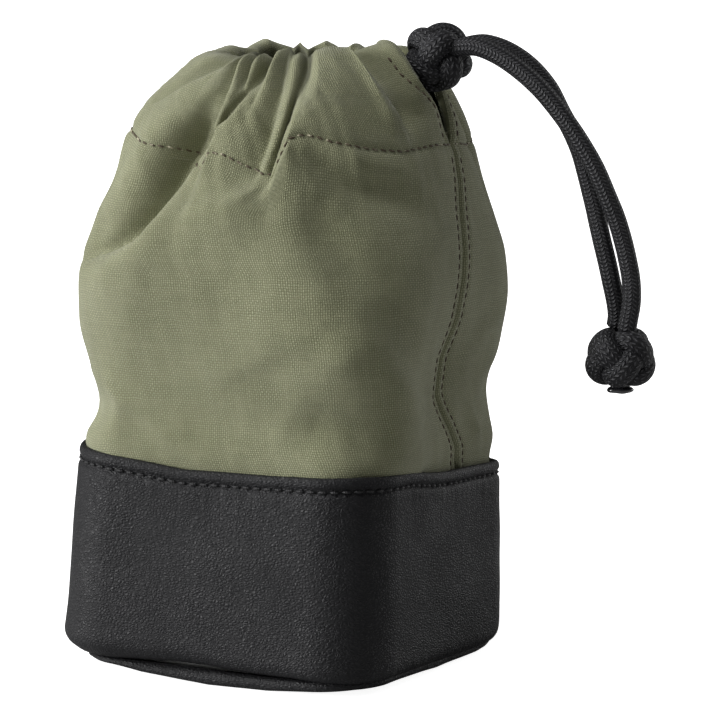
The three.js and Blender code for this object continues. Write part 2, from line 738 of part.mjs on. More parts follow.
function endKnot() {
  const knot = toGeometry(knotSolid(endKnotRadius, endKnotFlatShare))
    .translate(...endKnotPlace.toArray());
  const hole = meltedEndRadius + clearance;
  const depth = meltedStubLength + clearance;
  const stubHole = new THREE.CylinderGeometry(hole, hole, 2 * depth, 2 * cordSides).rotateX(Math.PI / 2)
    .translate(endKnotPlace.x, 0, endKnotPlace.z - endKnotHalfHeight - clearance);
  const wayIn = pairTool(lowerStrands, lowerRoute.length);
  return filled(toGeometry(toSolid(knot).subtract(wayIn).subtract(toSolid(stubHole))));
}

// A canvas half: the cloth with its turned-in hem, less the channel for the cord, the nest that the sliding
// knot presses into the slit's edges, and the way out for the cords.
function canvasPanel(side) {
  const cloth = toSolid(halfRound(panelSection(), side, 0));
  const channel = toSolid(halfRound(channelSection(), side, 2 * slitHalfGap));
  const nest = new THREE.SphereGeometry(knotReach + clearance, 2 * ringColumns / 3, ringColumns / 3)
    .translate(...slidingKnotPlace.toArray());
  const wayOut = toSolid(loopTube(cordDiameter / 2 + clearance));
  return filled(toGeometry(cloth.subtract(channel).subtract(toSolid(nest)).subtract(wayOut)));
}

const finishes = {
  leather: { color: '#3a3a3d', roughness: 0.5, metalness: 0 },
  canvas: { color: '#7b7e62', roughness: 0.95, metalness: 0 },
  lining: { color: '#4a4b45', roughness: 0.9, metalness: 0 },
  foam: { color: '#8a8a86', roughness: 1, metalness: 0 },
  cord: { color: '#29292c', roughness: 0.75, metalness: 0 },
  melted: { color: '#151517', roughness: 0.25, metalness: 0 },
};

const pouch = new THREE.Group();

function addPiece(name, geometry, finish) {
  const material = new THREE.MeshStandardMaterial(finishes[finish]);
  const mesh = new THREE.Mesh(closedMesh(geometry), material);
  mesh.name = name;
  mesh.geometry.computeVertexNormals();
  pouch.add(mesh);
}

addPiece('leather_wall', leatherWall(), 'leather');
addPiece('leather_bottom', leatherBottom(), 'leather');
addPiece('bottom_padding', bottomPadding(), 'foam');
addPiece('wall_padding', wallPadding(), 'foam');
addPiece('lining', lining(), 'lining');
addPiece('canvas_front_panel', canvasPanel(-1), 'canvas');
addPiece('canvas_back_panel', canvasPanel(1), 'canvas');

const cordRadius = cordDiameter / 2;
addPiece('drawcord_loop', loopTube(cordRadius), 'cord');
['front', 'rear'].forEach((place, i) => {
  const upper = new Route(upperStrands[i]);
  const lower = new Route(lowerStrands[i]);
  const upperTube = cordTube(upper, cordRadius, cordSides, upperRoute.length);
  const lowerTube = cordTube(lower, cordRadius, cordSides, lowerRoute.length);
  addPiece(`tail_strand_${place}_upper`, upperTube, 'cord');
  addPiece(`tail_strand_${place}_lower`, lowerTube, 'cord');
});
addPiece('sliding_knot', slidingKnot(), 'cord');
addPiece('end_knot', endKnot(), 'cord');
addPiece('melted_cord_end', meltedEnd(), 'melted');

export default pouch;
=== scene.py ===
"""Lens pouch: gathered canvas on a padded leather base, drawn shut by a braided cord with two button knots.

Shapes are worked out in millimetres in the part's own frame, +Z up with the origin in the middle of the face that
the pouch stands on, and are put into their meshes in metres. The front canvas panel faces -Y, and the drawcord leaves
the mouth on the +X side.
"""
import logging
import math
from dataclasses import dataclass, field
from enum import Enum

import bmesh
import bpy
import numpy as np
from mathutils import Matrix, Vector
from numpy.typing import NDArray


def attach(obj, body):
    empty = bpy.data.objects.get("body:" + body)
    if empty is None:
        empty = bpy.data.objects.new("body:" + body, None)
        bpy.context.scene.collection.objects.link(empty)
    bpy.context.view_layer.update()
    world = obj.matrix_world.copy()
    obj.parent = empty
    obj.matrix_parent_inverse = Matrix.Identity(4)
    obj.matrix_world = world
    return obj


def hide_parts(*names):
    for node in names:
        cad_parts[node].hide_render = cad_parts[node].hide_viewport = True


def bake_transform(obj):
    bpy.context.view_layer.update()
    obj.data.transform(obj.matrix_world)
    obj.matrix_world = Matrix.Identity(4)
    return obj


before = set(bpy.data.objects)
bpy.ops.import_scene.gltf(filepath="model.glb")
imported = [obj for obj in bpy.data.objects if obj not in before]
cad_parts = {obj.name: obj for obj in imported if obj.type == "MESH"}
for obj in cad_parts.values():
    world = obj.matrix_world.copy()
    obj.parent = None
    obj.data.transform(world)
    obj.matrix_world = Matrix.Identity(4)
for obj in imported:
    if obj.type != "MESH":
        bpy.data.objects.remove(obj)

Array = NDArray[np.float64]
Rows = tuple[tuple[float, ...], ...]
Colour = tuple[float, float, float]
Span = tuple[float, float]  # where something eases in, or out where the second value is the smaller
Place = tuple[float, float, float]
Piece, Material = bpy.types.Object, bpy.types.Material
Tree, Node, Socket = bpy.types.NodeTree, bpy.types.Node, bpy.types.NodeSocket

MM = 0.001
TURN = 2.0 * math.pi
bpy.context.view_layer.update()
PATTERN_TURN = 1000.0  # mm of pattern that come out as 1 in its coordinates
POLE_MERGE = 0.005  # mm within which a pole's points become one
MEAN_GIRTH = 250.0  # mm
GIRTH_TO_HALF_WIDTH = 6.8

logger = logging.getLogger("lens_pouch")


# Small sums on whole arrays


def smoothstep(low: float, high: float, value: Array) -> Array:
    """An eased step: 3t^2 - 2t^3, where t is the way from low to high, kept from 0 to 1."""
    t = np.clip((value - low) / (high - low), 0.0, 1.0)
    return t * t * (3.0 - 2.0 * t)


def bell(away: Array, reach: Array | float, power: float = 2.0) -> Array:
    """A rounded hill that is 1 on its line: exp(-(|away| / reach)^power)."""
    return np.exp(-((np.abs(away) / reach) ** power))


def shorter_way(turn: Array) -> Array:
    """A turn as the shorter way round, from -0.5 to 0.5."""
    return (turn + 0.5) % 1.0 - 0.5


def look_up(table: Rows, at: Array, column: int = 1, period: float | None = None) -> Array:
    """A column of a table at values of its first column, along straight lines between the rows."""
    rows = np.array(table)
    return np.interp(at, rows[:, 0], rows[:, column], period=period)


def unit(vectors: Array) -> Array:
    """The vectors at length one."""
    return vectors / np.maximum(np.linalg.norm(vectors, axis=-1, keepdims=True), 1e-12)


def lengths_along(points: Array, axis: int = 0) -> Array:
    """Distance run along a line, or along one axis of a grid: the running sum of the steps, from zero."""
    steps = np.linalg.norm(np.diff(points, axis=axis), axis=-1)
    start = np.zeros_like(np.take(steps, [0], axis=axis))
    return np.concatenate([start, np.cumsum(steps, axis=axis)], axis=axis)


def smooth_line(points: Array, count: int) -> Array:
    """A smooth line through given points, at even steps of its length.

    Each coordinate is a cubic between neighbours whose slope at a point is half the way from the point before to the
    point after.

    Args:
        points: The points to pass through, one to a row.
        count: How many points the line gets.

    Returns:
        The line's points, one to a row.
    """
    padded = np.vstack([2 * points[0] - points[1], points, 2 * points[-1] - points[-2]])
    at = np.linspace(0, len(points) - 1, 24 * len(points))
    i = np.minimum(at.astype(int), len(points) - 2)
    t = (at - i)[:, None]
    before, here, there, after = padded[i], padded[i + 1], padded[i + 2], padded[i + 3]
    line = 0.5 * (
        2 * here
        + (there - before) * t
        + (2 * before - 5 * here + 4 * there - after) * t**2
        + (3 * here - before - 3 * there + after) * t**3
    )
    run = lengths_along(line)
    even = np.linspace(0, run[-1], count)
    return np.stack([np.interp(even, run, line[:, k]) for k in range(line.shape[1])], axis=1)


def rounded_square_reach(angle: Array, half_width: Array, corner: Array) -> Array:
    """Distance from the middle to the edge of a square with rounded corners, in the direction of an angle.

    On a flat side it is half_width / max(|cos|, |sin|). Round a corner it solves the corner's circle:
    m(l + s) + sqrt(corner^2 - (m(l - s))^2), with m = half_width - corner and l and s the larger and the smaller of
    |cos| and |sin|.

    Args:
        angle: Direction in radians.
        half_width: Half the square's width.
        corner: Radius of its corners.

    Returns:
        The distance for each angle.
    """
    cosine, sine = np.abs(np.cos(angle)), np.abs(np.sin(angle))
    long, short = np.maximum(cosine, sine), np.minimum(cosine, sine)
    middle = half_width - corner
    flat = half_width / long
    bend = np.sqrt(np.maximum(corner**2 - (middle * (long - short)) ** 2, 0.0))
    return np.where(flat * short <= middle, flat, middle * (long + short) + bend)


def wobble(first: Array, second: Array, seed: float) -> Array:
    """A gentle unevenness from -1 to 1 without a visible repeat: the mean of five sines in unrelated directions."""
    waves = ((1.0, 0.37, 0.0), (-0.61, 1.13, 1.7), (1.71, -0.83, 4.1), (0.29, 2.07, 2.6), (-2.23, -1.37, 5.3))
    total = sum(np.sin(a * first + b * second + c + seed) for a, b, c in waves)
    return total / len(waves)


# Meshes


@dataclass
class Draft:
    """Points, faces and pattern coordinates of a piece in the making, in millimetres."""

    points: list[Array] = field(default_factory=list)
    faces: list[list[int]] = field(default_factory=list)
    corners: list[Array] = field(default_factory=list)
    count: int = 0

    def add_points(self, points: Array) -> int:
        """Adds points and returns the index of the first."""
        first = self.count
        self.points.append(points.reshape(-1, 3))
        self.count += self.points[-1].shape[0]
        return first

    def add_grid(
        self,
        grid: Array,
        pattern: Array,
        ring_rows: bool = False,
        ring_columns: bool = False,
        flip: bool = False,
    ) -> int:
        """Adds a grid of points and the four-sided faces between them.

        Args:
            grid: Points as rows by columns by three.
            pattern: Pattern coordinates, with one more row or column than the grid where that direction is a ring.
            ring_rows: Whether the last row meets the first.
            ring_columns: Whether the last column meets the first.
            flip: Turns the faces round.

        Returns:
            The index of the grid's first point.
        """
        rows, columns = grid.shape[:2]
        first = self.add_points(grid)
        row_steps = np.arange(rows if ring_rows else rows - 1)
        column_steps = np.arange(columns if ring_columns else columns - 1)
        r, c = np.meshgrid(row_steps, column_steps, indexing="ij")
        steps = [(0, 0), (0, 1), (1, 1), (1, 0)]
        if flip:
            steps.reverse()
        quads = np.stack([first + ((r + i) % rows) * columns + (c + j) % columns for i, j in steps], axis=-1)
        self.faces.extend(quads.reshape(-1, 4).tolist())
        self.corners.append(np.stack([pattern[r + i, c + j] for i, j in steps], axis=-2).reshape(-1, 2))
        return first

    def add_faces(self, faces: Array, pattern: Array) -> None:
        """Adds faces by point index, one to a row, with one pattern coordinate for each corner."""
        self.faces.extend(faces.tolist())
        self.corners.append(pattern.reshape(-1, 2))

    def add_slab(self, outer: Array, inner: Array, pattern: Array, flip: bool = False) -> None:
        """Adds a closed sheet of cloth: two like grids, and a wall round their edges.

        Args:
            outer: The side that faces out, as rows by columns by three.
            inner: The other side, point for point.
            pattern: Pattern coordinates for both sides.
            flip: Whether the outer side faces the other way.
        """
        rows, columns = outer.shape[:2]
        first = self.add_grid(outer, pattern, flip=flip)
        second = self.add_grid(inner, pattern, flip=not flip)
        index = np.arange(rows * columns).reshape(rows, columns)
        here = np.concatenate([index[0, :-1], index[:-1, -1], index[-1, :0:-1], index[:0:-1, 0]])
        there = np.roll(here, -1)
        order = [there + first, here + first, here + second, there + second]
        walls = np.stack(order[::-1] if flip else order, axis=-1)
        flat = pattern.reshape(-1, 2)
        ends = [there, here, here, there]
        self.add_faces(walls, np.stack([flat[k] for k in (ends[::-1] if flip else ends)], axis=1))

    def build(self, name: str, finish: "Finish", merge: float = 0.0, outward: bool = False) -> Piece:
        """Makes the mesh and its object.

        Args:
            name: The object's name.
            finish: Its finish.
            merge: How near two points are the same point, in mm, or zero to merge none.
            outward: Works the faces' directions out again, for one closed body.

        Returns:
            The object, linked to the scene.
        """
        mesh = bpy.data.meshes.new(name)
        mesh.from_pydata((np.concatenate(self.points) * MM).tolist(), [], self.faces)
        layer = mesh.uv_layers.new(name="pattern")
        layer.data.foreach_set("uv", (np.concatenate(self.corners) * MM).astype(np.float32).ravel())
        mesh.polygons.foreach_set("use_smooth", np.ones(len(mesh.polygons), bool))
        if merge > 0.0 or outward:
            work = bmesh.new()
            work.from_mesh(mesh)
            if merge > 0.0:
                bmesh.ops.remove_doubles(work, verts=work.verts, dist=merge * MM)
            if outward:
                bmesh.ops.recalc_face_normals(work, faces=work.faces)
            work.to_mesh(mesh)
            work.free()
        mesh.materials.append(WARDROBE[finish])
        mesh.update()
        piece = bpy.data.objects.new(name, mesh)
        bpy.context.scene.collection.objects.link(piece)
        return piece


def tube_grid(
    line: Array,
    width: Array,
    thickness: Array,
    reference: Array,
    sides: int,
    pattern_turns: float = 1.0,
    ring: bool = False,
) -> tuple[Array, Array]:
    """A tube along a line: width * cos(a) * n + thickness * sin(a) * b is added to each point.

    n is square to the line and to the reference, and b is square to the line and to n.

    Args:
        line: The centreline, one point to a row.
        width: Half the tube's width at each point.
        thickness: Half its thickness along the reference.
        reference: A direction for each point that isn't along the line there.
        sides: How many points go round.
        pattern_turns: What the pattern's way round comes to in one turn.
        ring: Whether the line's end meets its start.

    Returns:
        The grid of points, and pattern coordinates: the way round and the length run.
    """
    if ring:
        course = np.concatenate([line, line[:1]])
        along = unit(np.roll(line, -1, axis=0) - np.roll(line, 1, axis=0))
    else:
        course = line
        along = unit(np.gradient(line, axis=0))
    across = unit(np.cross(along, reference))
    up = np.cross(across, along)
    angle = np.linspace(0.0, TURN, sides, endpoint=False)[None, :, None]
    sideways = width[:, None, None] * np.cos(angle) * across[:, None]
    upward = thickness[:, None, None] * np.sin(angle) * up[:, None]
    ways = np.linspace(0.0, pattern_turns * PATTERN_TURN, sides + 1)
    turn, run = np.meshgrid(ways, lengths_along(course), indexing="xy")
    return line[:, None] + sideways + upward, np.stack([turn, run], axis=-1)


# Node trees


class Net:
    """A node tree with short calls for the nodes that these finishes use."""

    # Places of a Mix node's two colours and of its mixed colour
    FIRST_COLOUR, SECOND_COLOUR, MIXED_COLOUR = 6, 7, 2

    def __init__(self, tree: Tree) -> None:
        """Starts on a tree."""
        self.tree = tree

    def put(self, socket: Socket, value: object) -> None:
        """Links a socket to another, or sets its value."""
        if isinstance(value, Socket):
            self.tree.links.new(value, socket)
        elif isinstance(value, (tuple, list)) and len(value) == 3 and socket.type == "RGBA":
            socket.default_value = (*value, 1.0)
        else:
            socket.default_value = value

    def fill(self, node: Node, inputs: dict[str, object]) -> None:
        """Links or sets a node's inputs, by name or by place."""
        for key, value in inputs.items():
            self.put(node.inputs[key], value)

    def node(self, kind: str, inputs: dict[str, object] | None = None, **settings: object) -> Node:
        """Adds a node.

        Args:
            kind: The node's type name.
            inputs: Values or links for its inputs, by name or by place.
            **settings: The node's own settings.

        Returns:
            The node.
        """
        made = self.tree.nodes.new(kind)
        for key, value in settings.items():
            setattr(made, key, value)
        self.fill(made, inputs or {})
        return made

    def math(self, operation: str, *values: object, clamp: bool = False) -> Socket:
        """The result of a Math node on up to three values."""
        return self.node("ShaderNodeMath", dict(enumerate(values)), operation=operation, use_clamp=clamp).outputs[0]

    def step(self, low: float, high: float, value: Socket) -> Socket:
        """An eased step of a value from low to high."""
        names = {"Value": value, "From Min": low, "From Max": high}
        return self.node("ShaderNodeMapRange", names, interpolation_type="SMOOTHSTEP").outputs["Result"]

    def blend(self, share: object, first: object, second: object, kind: str = "MIX") -> Socket:
        """Two colours mixed by a share."""
        made = self.node("ShaderNodeMix", data_type="RGBA", blend_type=kind)
        self.fill(made, {"Factor": share, self.FIRST_COLOUR: first, self.SECOND_COLOUR: second})
        return made.outputs[self.MIXED_COLOUR]

    def jitter(self, place: object, scale: float, detail: float, amount: float) -> Socket:
        """A place moved about by smooth noise, by half the amount at most to each side, in metres."""
        drift = self.node("ShaderNodeTexNoise", {"Vector": place, "Scale": scale, "Detail": detail})
        middle = {0: drift.outputs["Color"], 1: (0.5, 0.5, 0.5)}
        centred = self.node("ShaderNodeVectorMath", middle, operation="SUBTRACT").outputs[0]
        small = self.node("ShaderNodeVectorMath", {0: centred, "Scale": amount}, operation="SCALE").outputs[0]
        return self.node("ShaderNodeVectorMath", {0: place, 1: small}, operation="ADD").outputs[0]

    def noise(self, place: object, scale: float, detail: float = 2.0, rough: float = 0.5) -> Socket:
        """Smooth noise from 0 to 1 at a place, in cells to the metre."""
        names = {"Vector": place, "Scale": scale, "Detail": detail, "Roughness": rough}
        return self.node("ShaderNodeTexNoise", names).outputs["Fac"]

    def scaled(self, place: object, x: float, y: float, z: float) -> Socket:
        """A place stretched along its three directions."""
        names = {"Vector": place, "Scale": (x, y, z)}
        return self.node("ShaderNodeMapping", names).outputs["Vector"]

    def group(self, tree: Tree, inputs: dict[str, object]) -> Node:
        """Adds a node group with its inputs."""
        made = self.node("ShaderNodeGroup", node_tree=tree)
        self.fill(made, inputs)
        return made

    def bump(self, height: object, distance: float, strength: float = 1.0, normal: object = None) -> Socket:
        """The normal of a surface raised by a height, in metres at height 1."""
        names = {"Height": height, "Distance": distance, "Strength": strength}
        if normal is not None:
            names["Normal"] = normal
        return self.node("ShaderNodeBump", names).outputs["Normal"]


class GroupNet(Net):
    """A new node group, which takes a vector first and numbers after it, and gives numbers."""

    def __init__(self, name: str, inputs: tuple[str, ...], outputs: tuple[str, ...]) -> None:
        """Starts a group with its sockets.

        Args:
            name: The group's name.
            inputs: The inputs' names.
            outputs: The outputs' names.
        """
        super().__init__(bpy.data.node_groups.new(name, "ShaderNodeTree"))
        for place, key in enumerate(inputs + outputs):
            way = "INPUT" if place < len(inputs) else "OUTPUT"
            kind = "NodeSocketFloat" if place else "NodeSocketVector"
            self.tree.interface.new_socket(key, in_out=way, socket_type=kind)
        self.given = self.tree.nodes.new("NodeGroupInput").outputs
        self.end = self.tree.nodes.new("NodeGroupOutput")

    def give(self, results: dict[str, object]) -> Tree:
        """Links the group's outputs and returns its tree."""
        self.fill(self.end, results)
        return self.tree


class Paint(Net):
    """A new material's node tree, with its Principled shader."""

    def __init__(self, name: str) -> None:
        """Starts a material."""
        self.material = bpy.data.materials.new(name)
        self.material.use_nodes = True
        super().__init__(self.material.node_tree)

    def pattern(self) -> Socket:
        """The piece's own pattern coordinates."""
        return self.node("ShaderNodeUVMap", uv_map="pattern").outputs["UV"]

    def place(self) -> Socket:
        """The place on the piece, in metres."""
        return self.node("ShaderNodeTexCoord").outputs["Object"]

    def finish(self, inputs: dict[str, object]) -> Material:
        """Fills in the Principled shader and returns the material."""
        self.fill(self.tree.nodes["Principled BSDF"], inputs)
        return self.material


class Effects:
    """The shader node groups that several finishes share, each built once."""

    def __init__(self) -> None:
        """Builds the groups."""
        self.weave = self._weave()
        self.braid = self._braid()
        self.grain = self._grain()
        self.mottle = self._mottle()

    def _weave(self) -> Tree:
        """Plain weave: in every other cell of the thread grid the warp lies on top, and in the rest the weft does.

        With x and y in threads, a = |sin(pi x)| and b = |sin(pi y)|, the sign of sin(pi x) * sin(pi y) tells the
        cells apart. The height is a * (0.45 b + 0.55) on the warp's cells and b * (0.33 a + 0.40) on the weft's.
        Each thread has a tone of its own.

        Returns:
            The group, which takes pattern coordinates in metres and the threads to a metre.
        """
        net = GroupNet("plain_weave", ("Pattern", "Threads"), ("Height", "Tone"))
        moved = net.jitter(net.given["Pattern"], scale=260.0, detail=1.0, amount=0.0009)
        apart = net.node("ShaderNodeSeparateXYZ", {"Vector": moved}).outputs
        x, y = (net.math("MULTIPLY", apart[axis], net.given["Threads"]) for axis in "XY")
        sine_x, sine_y = (net.math("SINE", net.math("MULTIPLY", way, math.pi)) for way in (x, y))
        warp_on_top = net.step(-0.25, 0.25, net.math("MULTIPLY", sine_x, sine_y))
        ridge_x, ridge_y = net.math("ABSOLUTE", sine_x), net.math("ABSOLUTE", sine_y)
        warp = net.math("MULTIPLY", ridge_x, net.math("MULTIPLY_ADD", ridge_y, 0.45, 0.55))
        weft = net.math("MULTIPLY", ridge_y, net.math("MULTIPLY_ADD", ridge_x, 0.33, 0.40))
        warp_thread, weft_thread = net.math("FLOOR", x), net.math("ADD", net.math("FLOOR", y), 0.5)
        warp_tone, weft_tone = (
            net.node("ShaderNodeTexWhiteNoise", {"W": thread}, noise_dimensions="1D").outputs["Value"]
            for thread in (warp_thread, weft_thread)
        )
        height = net.node("ShaderNodeMix", {"Factor": warp_on_top, 2: weft, 3: warp}).outputs[0]
        tone = net.node("ShaderNodeMix", {"Factor": warp_on_top, 2: weft_tone, 3: warp_tone}).outputs[0]
        return net.give({"Height": height, "Tone": tone})

    def _braid(self) -> Tree:
        """Herringbone braid: columns round the cord whose stitches slant one way and the other by turns.

        With c the way round in columns, f its fraction and d = +1 or -1 by turns, the stitches' phase is
        along / pitch + 0.8 d (f - 1/2), and a stitch stands sin(pi f) * cos^2(pi phase) high.

        Returns:
            The group, which takes the way round in turns and the length run in metres.
        """
        net = GroupNet("herringbone_braid", ("Pattern", "Columns", "Pitch"), ("Height", "Fleck"))
        apart = net.node("ShaderNodeSeparateXYZ", {"Vector": net.given["Pattern"]}).outputs
        column = net.math("MULTIPLY", apart["X"], net.given["Columns"])
        across = net.math("FRACT", column)
        way = net.math("MULTIPLY_ADD", net.math("FLOORED_MODULO", net.math("FLOOR", column), 2.0), 2.0, -1.0)
        slant = net.math("MULTIPLY", way, net.math("MULTIPLY", net.math("SUBTRACT", across, 0.5), 0.8))
        phase = net.math("ADD", net.math("DIVIDE", apart["Y"], net.given["Pitch"]), slant)
        wave = net.math("COSINE", net.math("MULTIPLY", phase, math.pi))
        crown = net.math("SINE", net.math("MULTIPLY", across, math.pi))
        height = net.math("MULTIPLY", net.math("MULTIPLY", wave, wave), crown)
        # the highlight output marks the stitches' tops, where the cord's painted highlights go
        return net.give({"Height": height, "Fleck": net.step(0.55, 0.98, height)})

    def _grain(self) -> Tree:
        """Leather grain: pebbles between creases, from the distance to the nearest cell edge, and finer pores.

        Returns:
            The group, which takes a place and the pebbles to a metre.
        """
        net = GroupNet("pebble_grain", ("Place", "Pebbles"), ("Height", "Crease"))
        place = net.jitter(net.given["Place"], scale=420.0, detail=2.0, amount=0.0011)
        names = {"Vector": place, "Scale": net.given["Pebbles"]}
        cells = net.node("ShaderNodeTexVoronoi", names, feature="DISTANCE_TO_EDGE").outputs["Distance"]
        pebble = net.step(0.0, 0.34, cells)
        height = net.math("MULTIPLY_ADD", net.noise(place, 2600.0, 2.0, 0.6), 0.12, pebble)
        return net.give({"Height": height, "Crease": net.math("SUBTRACT", 1.0, pebble)})

    def _mottle(self) -> Tree:
        """Broad unevenness from 0 to 1: noise with four finer octaves, its middle values spread out.

        Returns:
            The group, which takes a place and the noise's cells to a metre.
        """
        net = GroupNet("handling_mottle", ("Place", "Scale"), ("Amount",))
        broad = net.noise(net.given["Place"], net.given["Scale"], 4.0, 0.62)
        return net.give({"Amount": net.step(0.32, 0.68, broad)})


EFFECTS = Effects()


# Finishes


@dataclass(frozen=True)
class ClothFinish:
    """Woven cotton: colours of thread tops, of the painted shade in the gaps and of worn threads, threads to a metre
    and their height in metres.

    Attributes:
        slubs: How much a thread's thickness shows in the relief.
        tones: Shares of warp slubs, weft slubs, speckle and whole threads in a thread's tone.
        fading: Cells to a metre and strength of the broad fading, which darkens.
        patches: The same of the smaller patches, which lighten.
    """

    name: str
    thread: Colour
    shade: Colour
    faded: Colour
    threads: float = 2050.0
    relief: float = 0.00013
    roughness: float = 0.92
    slubs: float = 0.35
    tones: tuple[float, float, float, float] = (0.33, 0.27, 0.40, 0.22)
    fading: tuple[float, float] = (42.0, 0.30)
    patches: tuple[float, float] = (170.0, 0.16)

    def material(self) -> Material:
        """Builds the material: thread tops over painted shade in the gaps, slubs, broad fading and the weave's relief.
        """
        paint = Paint(self.name)
        pattern, place = paint.pattern(), paint.place()
        weave = paint.group(EFFECTS.weave, {"Pattern": pattern, "Threads": self.threads}).outputs
        slubs = paint.noise(paint.scaled(pattern, 1.0, 0.30, 1.0), 1900.0, 2.0, 0.6)
        cross_slubs = paint.noise(paint.scaled(pattern, 0.34, 1.0, 1.0), 1800.0, 2.0, 0.6)
        speckle = paint.noise(pattern, 3300.0, 2.0, 0.7)
        mottle, patch = (
            paint.group(EFFECTS.mottle, {"Place": place, "Scale": scale}).outputs["Amount"]
            for scale in (self.fading[0], self.patches[0])
        )
        warp_share, weft_share, speckle_share, whole_share = self.tones
        tone = paint.math("MULTIPLY_ADD", slubs, warp_share, paint.math("MULTIPLY", cross_slubs, weft_share))
        tone = paint.math("SUBTRACT", paint.math("MULTIPLY_ADD", speckle, speckle_share, tone), 0.5 * whole_share)
        tone = paint.math("MULTIPLY_ADD", weave["Tone"], whole_share, tone)
        thread = paint.blend(paint.step(0.25, 0.78, tone), self.thread, self.faded)
        # painted shade: the low gaps between the threads take the shade colour
        body = paint.blend(paint.step(0.18, 0.9, weave["Height"]), self.shade, thread)
        body = paint.blend(paint.math("MULTIPLY", mottle, self.fading[1]), body, self.faded, "MULTIPLY")
        body = paint.blend(paint.math("MULTIPLY", patch, self.patches[1]), body, self.faded)
        height = paint.math("MULTIPLY_ADD", slubs, self.slubs, weave["Height"])
        return paint.finish({
            "Base Color": body, "Roughness": self.roughness, "Sheen Weight": 0.25, "Sheen Roughness": 0.5,
            "Specular IOR Level": 0.18, "Normal": paint.bump(height, self.relief),
        })


@dataclass(frozen=True)
class LeatherFinish:
    """Black grained leather: colours of pebbles, worn tops and the painted shade in the creases, pebbles to a metre
    and their height.

    Attributes:
        roughness: Roughness of the pebbles, before handling makes them glossier.
        swells: Cells to a metre and height in metres of the hide's slow unevenness.
    """

    name: str
    colour: Colour
    worn: Colour
    crease: Colour = (0.004, 0.004, 0.005)
    pebbles: float = 1250.0
    relief: float = 0.00010
    roughness: float = 0.52
    swells: tuple[float, float] = (180.0, 0.0005)

    def material(self) -> Material:
        """Builds the material: painted shade in the creases between satin pebbles, uneven gloss and wear on the high
        spots.
        """
        paint = Paint(self.name)
        place = paint.place()
        stretched = paint.scaled(place, 1.0, 1.0, 1.5)
        grain = paint.group(EFFECTS.grain, {"Place": stretched, "Pebbles": self.pebbles}).outputs
        mottle = paint.group(EFFECTS.mottle, {"Place": place, "Scale": 60.0}).outputs["Amount"]
        worn = paint.math("MULTIPLY", paint.step(0.9, 1.2, grain["Height"]), mottle)
        colour = paint.blend(paint.math("MULTIPLY", worn, 0.25), self.colour, self.worn)
        # painted shade: the grain's low creases darkened towards the crease colour
        colour = paint.blend(paint.math("MULTIPLY", grain["Crease"], 0.45), colour, self.crease)
        rough = paint.math("MULTIPLY_ADD", mottle, -0.10, self.roughness)
        rough = paint.math("MULTIPLY_ADD", grain["Crease"], 0.2, rough)
        low = paint.bump(paint.noise(place, self.swells[0], 3.0, 0.6), self.swells[1], 0.6)
        return paint.finish({
            "Base Color": colour, "Roughness": rough, "Specular IOR Level": 0.30,
            "Normal": paint.bump(grain["Height"], self.relief, 1.0, low),
        })


@dataclass(frozen=True)
class CordFinish:
    """Braided nylon: black yarn with painted grey highlights on the stitches' tops, where the light catches them.

    Attributes:
        columns: Columns of stitches round the cord.
        pitch, relief: Length and height of a stitch in metres.
    """

    name: str
    yarn: Colour
    fleck: Colour
    columns: float = 12.0
    pitch: float = 0.00080
    relief: float = 0.00024

    def material(self) -> Material:
        """Builds the material: the braid's stitches, painted highlights on their tops, and a satin sheen."""
        paint = Paint(self.name)
        names = {"Pattern": paint.pattern(), "Columns": self.columns, "Pitch": self.pitch}
        braid = paint.group(EFFECTS.braid, names).outputs
        fibres = paint.noise(paint.place(), 3800.0, 2.0, 0.6)
        # painted highlights: grey on the stitches' tops, broken up by the fibres
        fleck = paint.math("MULTIPLY", braid["Fleck"], paint.step(0.32, 0.62, fibres))
        height = paint.math("MULTIPLY_ADD", fibres, 0.12, braid["Height"])
        return paint.finish({
            "Base Color": paint.blend(fleck, self.yarn, self.fleck), "Roughness": 0.55, "Specular IOR Level": 0.3,
            "Normal": paint.bump(height, self.relief),
        })


@dataclass(frozen=True)
class ThreadFinish:
    """Sewing thread: its colour, lighter patches scattered along it, and its twist.

    Attributes:
        light, light_share: Colour of the lighter patches, and how much of the thread they take.
        twist, relief: Turns of the ply to a metre, and its height in metres.
    """

    name: str
    colour: Colour
    light: Colour
    light_share: float = 0.25
    roughness: float = 0.6
    twist: float = 2600.0
    relief: float = 0.00006

    def material(self) -> Material:
        """Builds the material: two-ply twist, with lighter patches."""
        paint = Paint(self.name)
        apart = paint.node("ShaderNodeSeparateXYZ", {"Vector": paint.pattern()}).outputs
        phase = paint.math("MULTIPLY_ADD", apart["Y"], self.twist, apart["X"])
        twist = paint.math("ABSOLUTE", paint.math("SINE", paint.math("MULTIPLY", phase, math.pi)))
        low, high = 0.62 - 0.3 * self.light_share, 0.74 - 0.2 * self.light_share
        patch = paint.step(low, high, paint.noise(paint.place(), 700.0, 1.0))
        share = paint.math("MULTIPLY", patch, self.light_share * 3.0, clamp=True)
        return paint.finish({
            "Base Color": paint.blend(share, self.colour, self.light), "Roughness": self.roughness,
            "Normal": paint.bump(twist, self.relief),
        })


@dataclass(frozen=True)
class PlainFinish:
    """Foam, or melted nylon: one colour with fine pores or ripples, darkened in them as painted shade, and a glossy
    coat where melted.

    Attributes:
        pores, relief: Pores to a metre, and their depth in metres.
    """

    name: str
    colour: Colour
    roughness: float
    pores: float
    relief: float
    coat: float = 0.0

    def material(self) -> Material:
        """Builds the material: colour darkened in the pores as painted shade, with their relief."""
        paint = Paint(self.name)
        pores = paint.noise(paint.place(), self.pores, 3.0, 0.6)
        # painted shade: the pores' low spots take a darker copy of the colour
        pore_shade = tuple(0.6 * c for c in self.colour)
        return paint.finish({
            "Base Color": paint.blend(paint.step(0.35, 0.6, pores), pore_shade, self.colour),
            "Roughness": self.roughness, "Coat Weight": self.coat, "Normal": paint.bump(pores, self.relief),
        })


